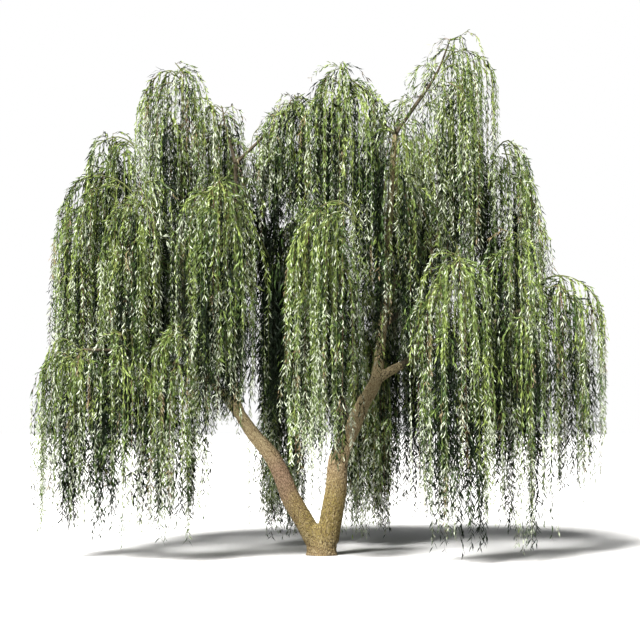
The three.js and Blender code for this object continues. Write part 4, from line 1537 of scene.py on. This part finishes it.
    def leaves_along(self, lines: list[np.ndarray], inner: np.ndarray, rng: np.random.Generator) -> Leaves:
        """Sets leaves along the whips, two and two near each other.

        Args:
            lines: The points of each whip.
            inner: How deep inside the crown each whip hangs.
            rng: The source of chance.

        Returns:
            The leaves.
        """
        columns = []
        for index, line in enumerate(lines):
            run = run_along(line)
            outer, wide = self.spacings
            spacing = outer + (wide - outer) * (inner[index] > COARSE_FROM)
            count = max(4, int(run[-1] / spacing))
            place = np.arange(count)
            pair = place // 2
            at = (2 * pair + rng.uniform(0, 1.4, count)[pair] + rng.uniform(0, 0.5, count)) / count * run[-1]
            at = np.minimum(at, run[-1])
            cell = np.clip(np.searchsorted(run, at, side="right") - 1, 0, len(run) - 2)
            columns.append((at_run(at, run, line), line[cell + 1] - line[cell], at / run[-1], place,
                            np.full(count, index)))
        spot, tangent, share, place, owner = (np.concatenate(column) for column in zip(*columns))
        return Leaves(spot, unit(tangent), share, place, owner, inner[owner])

    @staticmethod
    def spray(name: str, spots: np.ndarray, stored: dict[str, tuple[str, np.ndarray]],
              forms: list[bpy.types.Object], finish: PlainFinish, nodes: Iterable[str]) -> None:
        """Sets leaves on their points with Geometry Nodes and joins them into one piece.

        Args:
            name: The piece's name.
            spots: Where each leaf is attached.
            stored: The kind and the values of each leaf's turn, size and form.
            forms: The leaves to copy.
            finish: Their tone.
            nodes: The frame's nodes that the piece stands for.
        """
        cloud = cloud_from(name, spots)
        for key, (kind, values) in stored.items():
            put_attribute(cloud, key, kind, values)
        thing = new_object(name + " points", cloud)
        copied = {form.name: ("NodeSocketObject", form) for form in forms}
        piece = PieceNodes(name, {"Finish": ("NodeSocketMaterial", finish.material()), **copied})
        make = piece.make
        stack = make.node("GeometryNodeJoinGeometry")
        for form in reversed(forms):
            leaf = make.node("GeometryNodeObjectInfo", Object=piece.begin.outputs[form.name], As_Instance=True)
            make.tree.links.new(leaf.outputs["Geometry"], stack.inputs[0])
        turn, size, pick = (make.stored(kind, key) for key, (kind, _) in stored.items())
        copies = make.node("GeometryNodeInstanceOnPoints", Points=piece.begin.outputs["Geometry"],
                           Instance=stack.outputs[0], Pick_Instance=True, Instance_Index=pick,
                           Rotation=turn, Scale=size)
        piece.put_on(thing, copies.outputs[0])
        settle(plain_mesh(thing, name), nodes)


def quaternions(wide: np.ndarray, deep: np.ndarray, axis: np.ndarray) -> np.ndarray:
    """Turns three crossed directions into a quaternion each.

    Args:
        wide: The direction of each local X.
        deep: The direction of each local Y.
        axis: The direction of each local Z.

    Returns:
        The quaternions, real part first.
    """
    m = np.stack([wide, deep, axis], axis=2)
    w, x, y, z = (np.sqrt(np.maximum(0, 1 + a * m[:, 0, 0] + b * m[:, 1, 1] + c * m[:, 2, 2])) / 2
                  for a, b, c in ((1, 1, 1), (1, -1, -1), (-1, 1, -1), (-1, -1, 1)))
    x = np.copysign(x, m[:, 2, 1] - m[:, 1, 2])
    y = np.copysign(y, m[:, 0, 2] - m[:, 2, 0])
    z = np.copysign(z, m[:, 1, 0] - m[:, 0, 1])
    return unit(np.stack([w, x, y, z], axis=1))


# ---------------------------------------------------------------- studio


@dataclass(frozen=True)
class Sun:
    """A far light: its strength, its heading from behind the camera, its height and its spread, in degrees."""

    name: str
    strength: float
    heading: float
    height: float
    spread: float
    color: Colour

    def build(self) -> bpy.types.Object:
        """Makes the lamp."""
        light = bpy.data.lights.new(self.name, "SUN")
        light.energy, light.angle, light.color = self.strength, math.radians(self.spread), self.color
        lamp = new_object(self.name, light)
        lamp.rotation_euler = (math.radians(90 - self.height), 0, -math.radians(self.heading))
        return lamp


@dataclass
class Studio:
    """The pale floor, the lights, the white surround and the camera."""

    floor_size: float = 400.0
    sun: Sun = Sun("sun", 11.0, 32.0, 50.0, 20.0, (1.0, 0.985, 0.955))
    back: Sun = Sun("back light", 1.4, 196.0, 36.0, 75.0, (1.0, 0.99, 0.96))
    sky: float = 0.13
    fill_power: float = 3900.0
    fill_spread: float = 20.0
    fill_size: float = 0.6
    fill_at: Place = (-2.4, -8.5, 0.9)
    fill_to: Place = (-0.4, 0.0, 1.95)
    camera_at: Place = (-0.037, -26.0, 2.45)
    camera_pitch: float = 4.0
    lens: float = 80.0
    film: float = 36.0

    def build(self) -> None:
        """Makes the floor, the lights, the surround and the camera."""
        half = self.floor_size / 2
        corners = np.array([(-half, -half, 0), (half, -half, 0), (half, half, 0), (-half, half, 0)], float)
        floor = new_object("floor", mesh_from("floor", corners, [(0, 1, 2, 3)]))
        floor.data.materials.append(self.floor_finish())
        floor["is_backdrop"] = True
        self.sun.build()
        unlit = bpy.data.collections.new("not lit from behind")
        unlit.objects.link(floor)
        unlit.collection_objects[0].light_linking.link_state = "EXCLUDE"
        self.back.build().light_linking.receiver_collection = unlit
        self.light_foot()
        self.make_sky()
        view = bpy.data.cameras.new("camera")
        view.lens, view.sensor_width, view.clip_end = self.lens, self.film, 1000.0
        camera = new_object("camera", view)
        camera.location = self.camera_at
        camera.rotation_euler = (math.radians(90 + self.camera_pitch), 0, 0)
        bpy.context.scene.camera = camera
        bpy.context.scene.view_settings.view_transform = "Standard"

    def light_foot(self) -> None:
        """Makes the low lamp that lights the trunk and the stems."""
        light = bpy.data.lights.new("low fill", "SPOT")
        light.energy, light.spot_size, light.spot_blend = self.fill_power, math.radians(self.fill_spread), 0.8
        light.shadow_soft_size, light.color = self.fill_size, (1.0, 0.985, 0.94)
        lamp = new_object("low fill", light)
        lamp.location = self.fill_at
        aim = Vector(self.fill_to) - Vector(self.fill_at)
        lamp.rotation_euler = aim.to_track_quat("-Z", "Y").to_euler()

    @staticmethod
    def floor_finish() -> bpy.types.Material:
        """Makes the pale floor, which throws less light back than it shows, as a floor of soft cloth does."""
        made = PlainFinish("pale floor", (0.66, 0.66, 0.66), 0.9, 0.1).material()
        make = TreeMaker(made.node_tree)
        seen = make.node("ShaderNodeLightPath").outputs["Is Camera Ray"]
        tone = make.mix(seen, (0.24, 0.24, 0.23, 1), (0.88, 0.88, 0.88, 1))
        make.feed(made.node_tree.nodes["Principled BSDF"].inputs["Base Color"], tone)
        return made

    def make_sky(self) -> None:
        """Makes a white surround that is bright to the eye and soft as a light."""
        world = bpy.data.worlds.new("studio white")
        bpy.context.scene.world = world
        world.use_nodes = True
        world.node_tree.nodes.clear()
        make = TreeMaker(world.node_tree)
        seen = make.node("ShaderNodeLightPath").outputs["Is Camera Ray"]
        both = make.node("ShaderNodeMixShader", Fac=seen)
        for place, (color, strength) in enumerate((((0.97, 0.99, 1.0, 1), self.sky), (WHITE, 1.0)), 1):
            side = make.node("ShaderNodeBackground", Color=color, Strength=strength)
            make.feed(both.inputs[place], side.outputs[0])
        make.node("ShaderNodeOutputWorld", Surface=both.outputs[0])


def main() -> None:
    """Builds the willow in order."""
    logging.basicConfig(level=logging.INFO, format="%(name)s: %(message)s")
    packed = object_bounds()
    Studio().build()
    Woodwork().build()
    low, high = packed
    Crown(limits=((low[0], low[1], 0.0), (high[0], high[1], high[2]))).build()


if __name__ == "__main__":
    main()
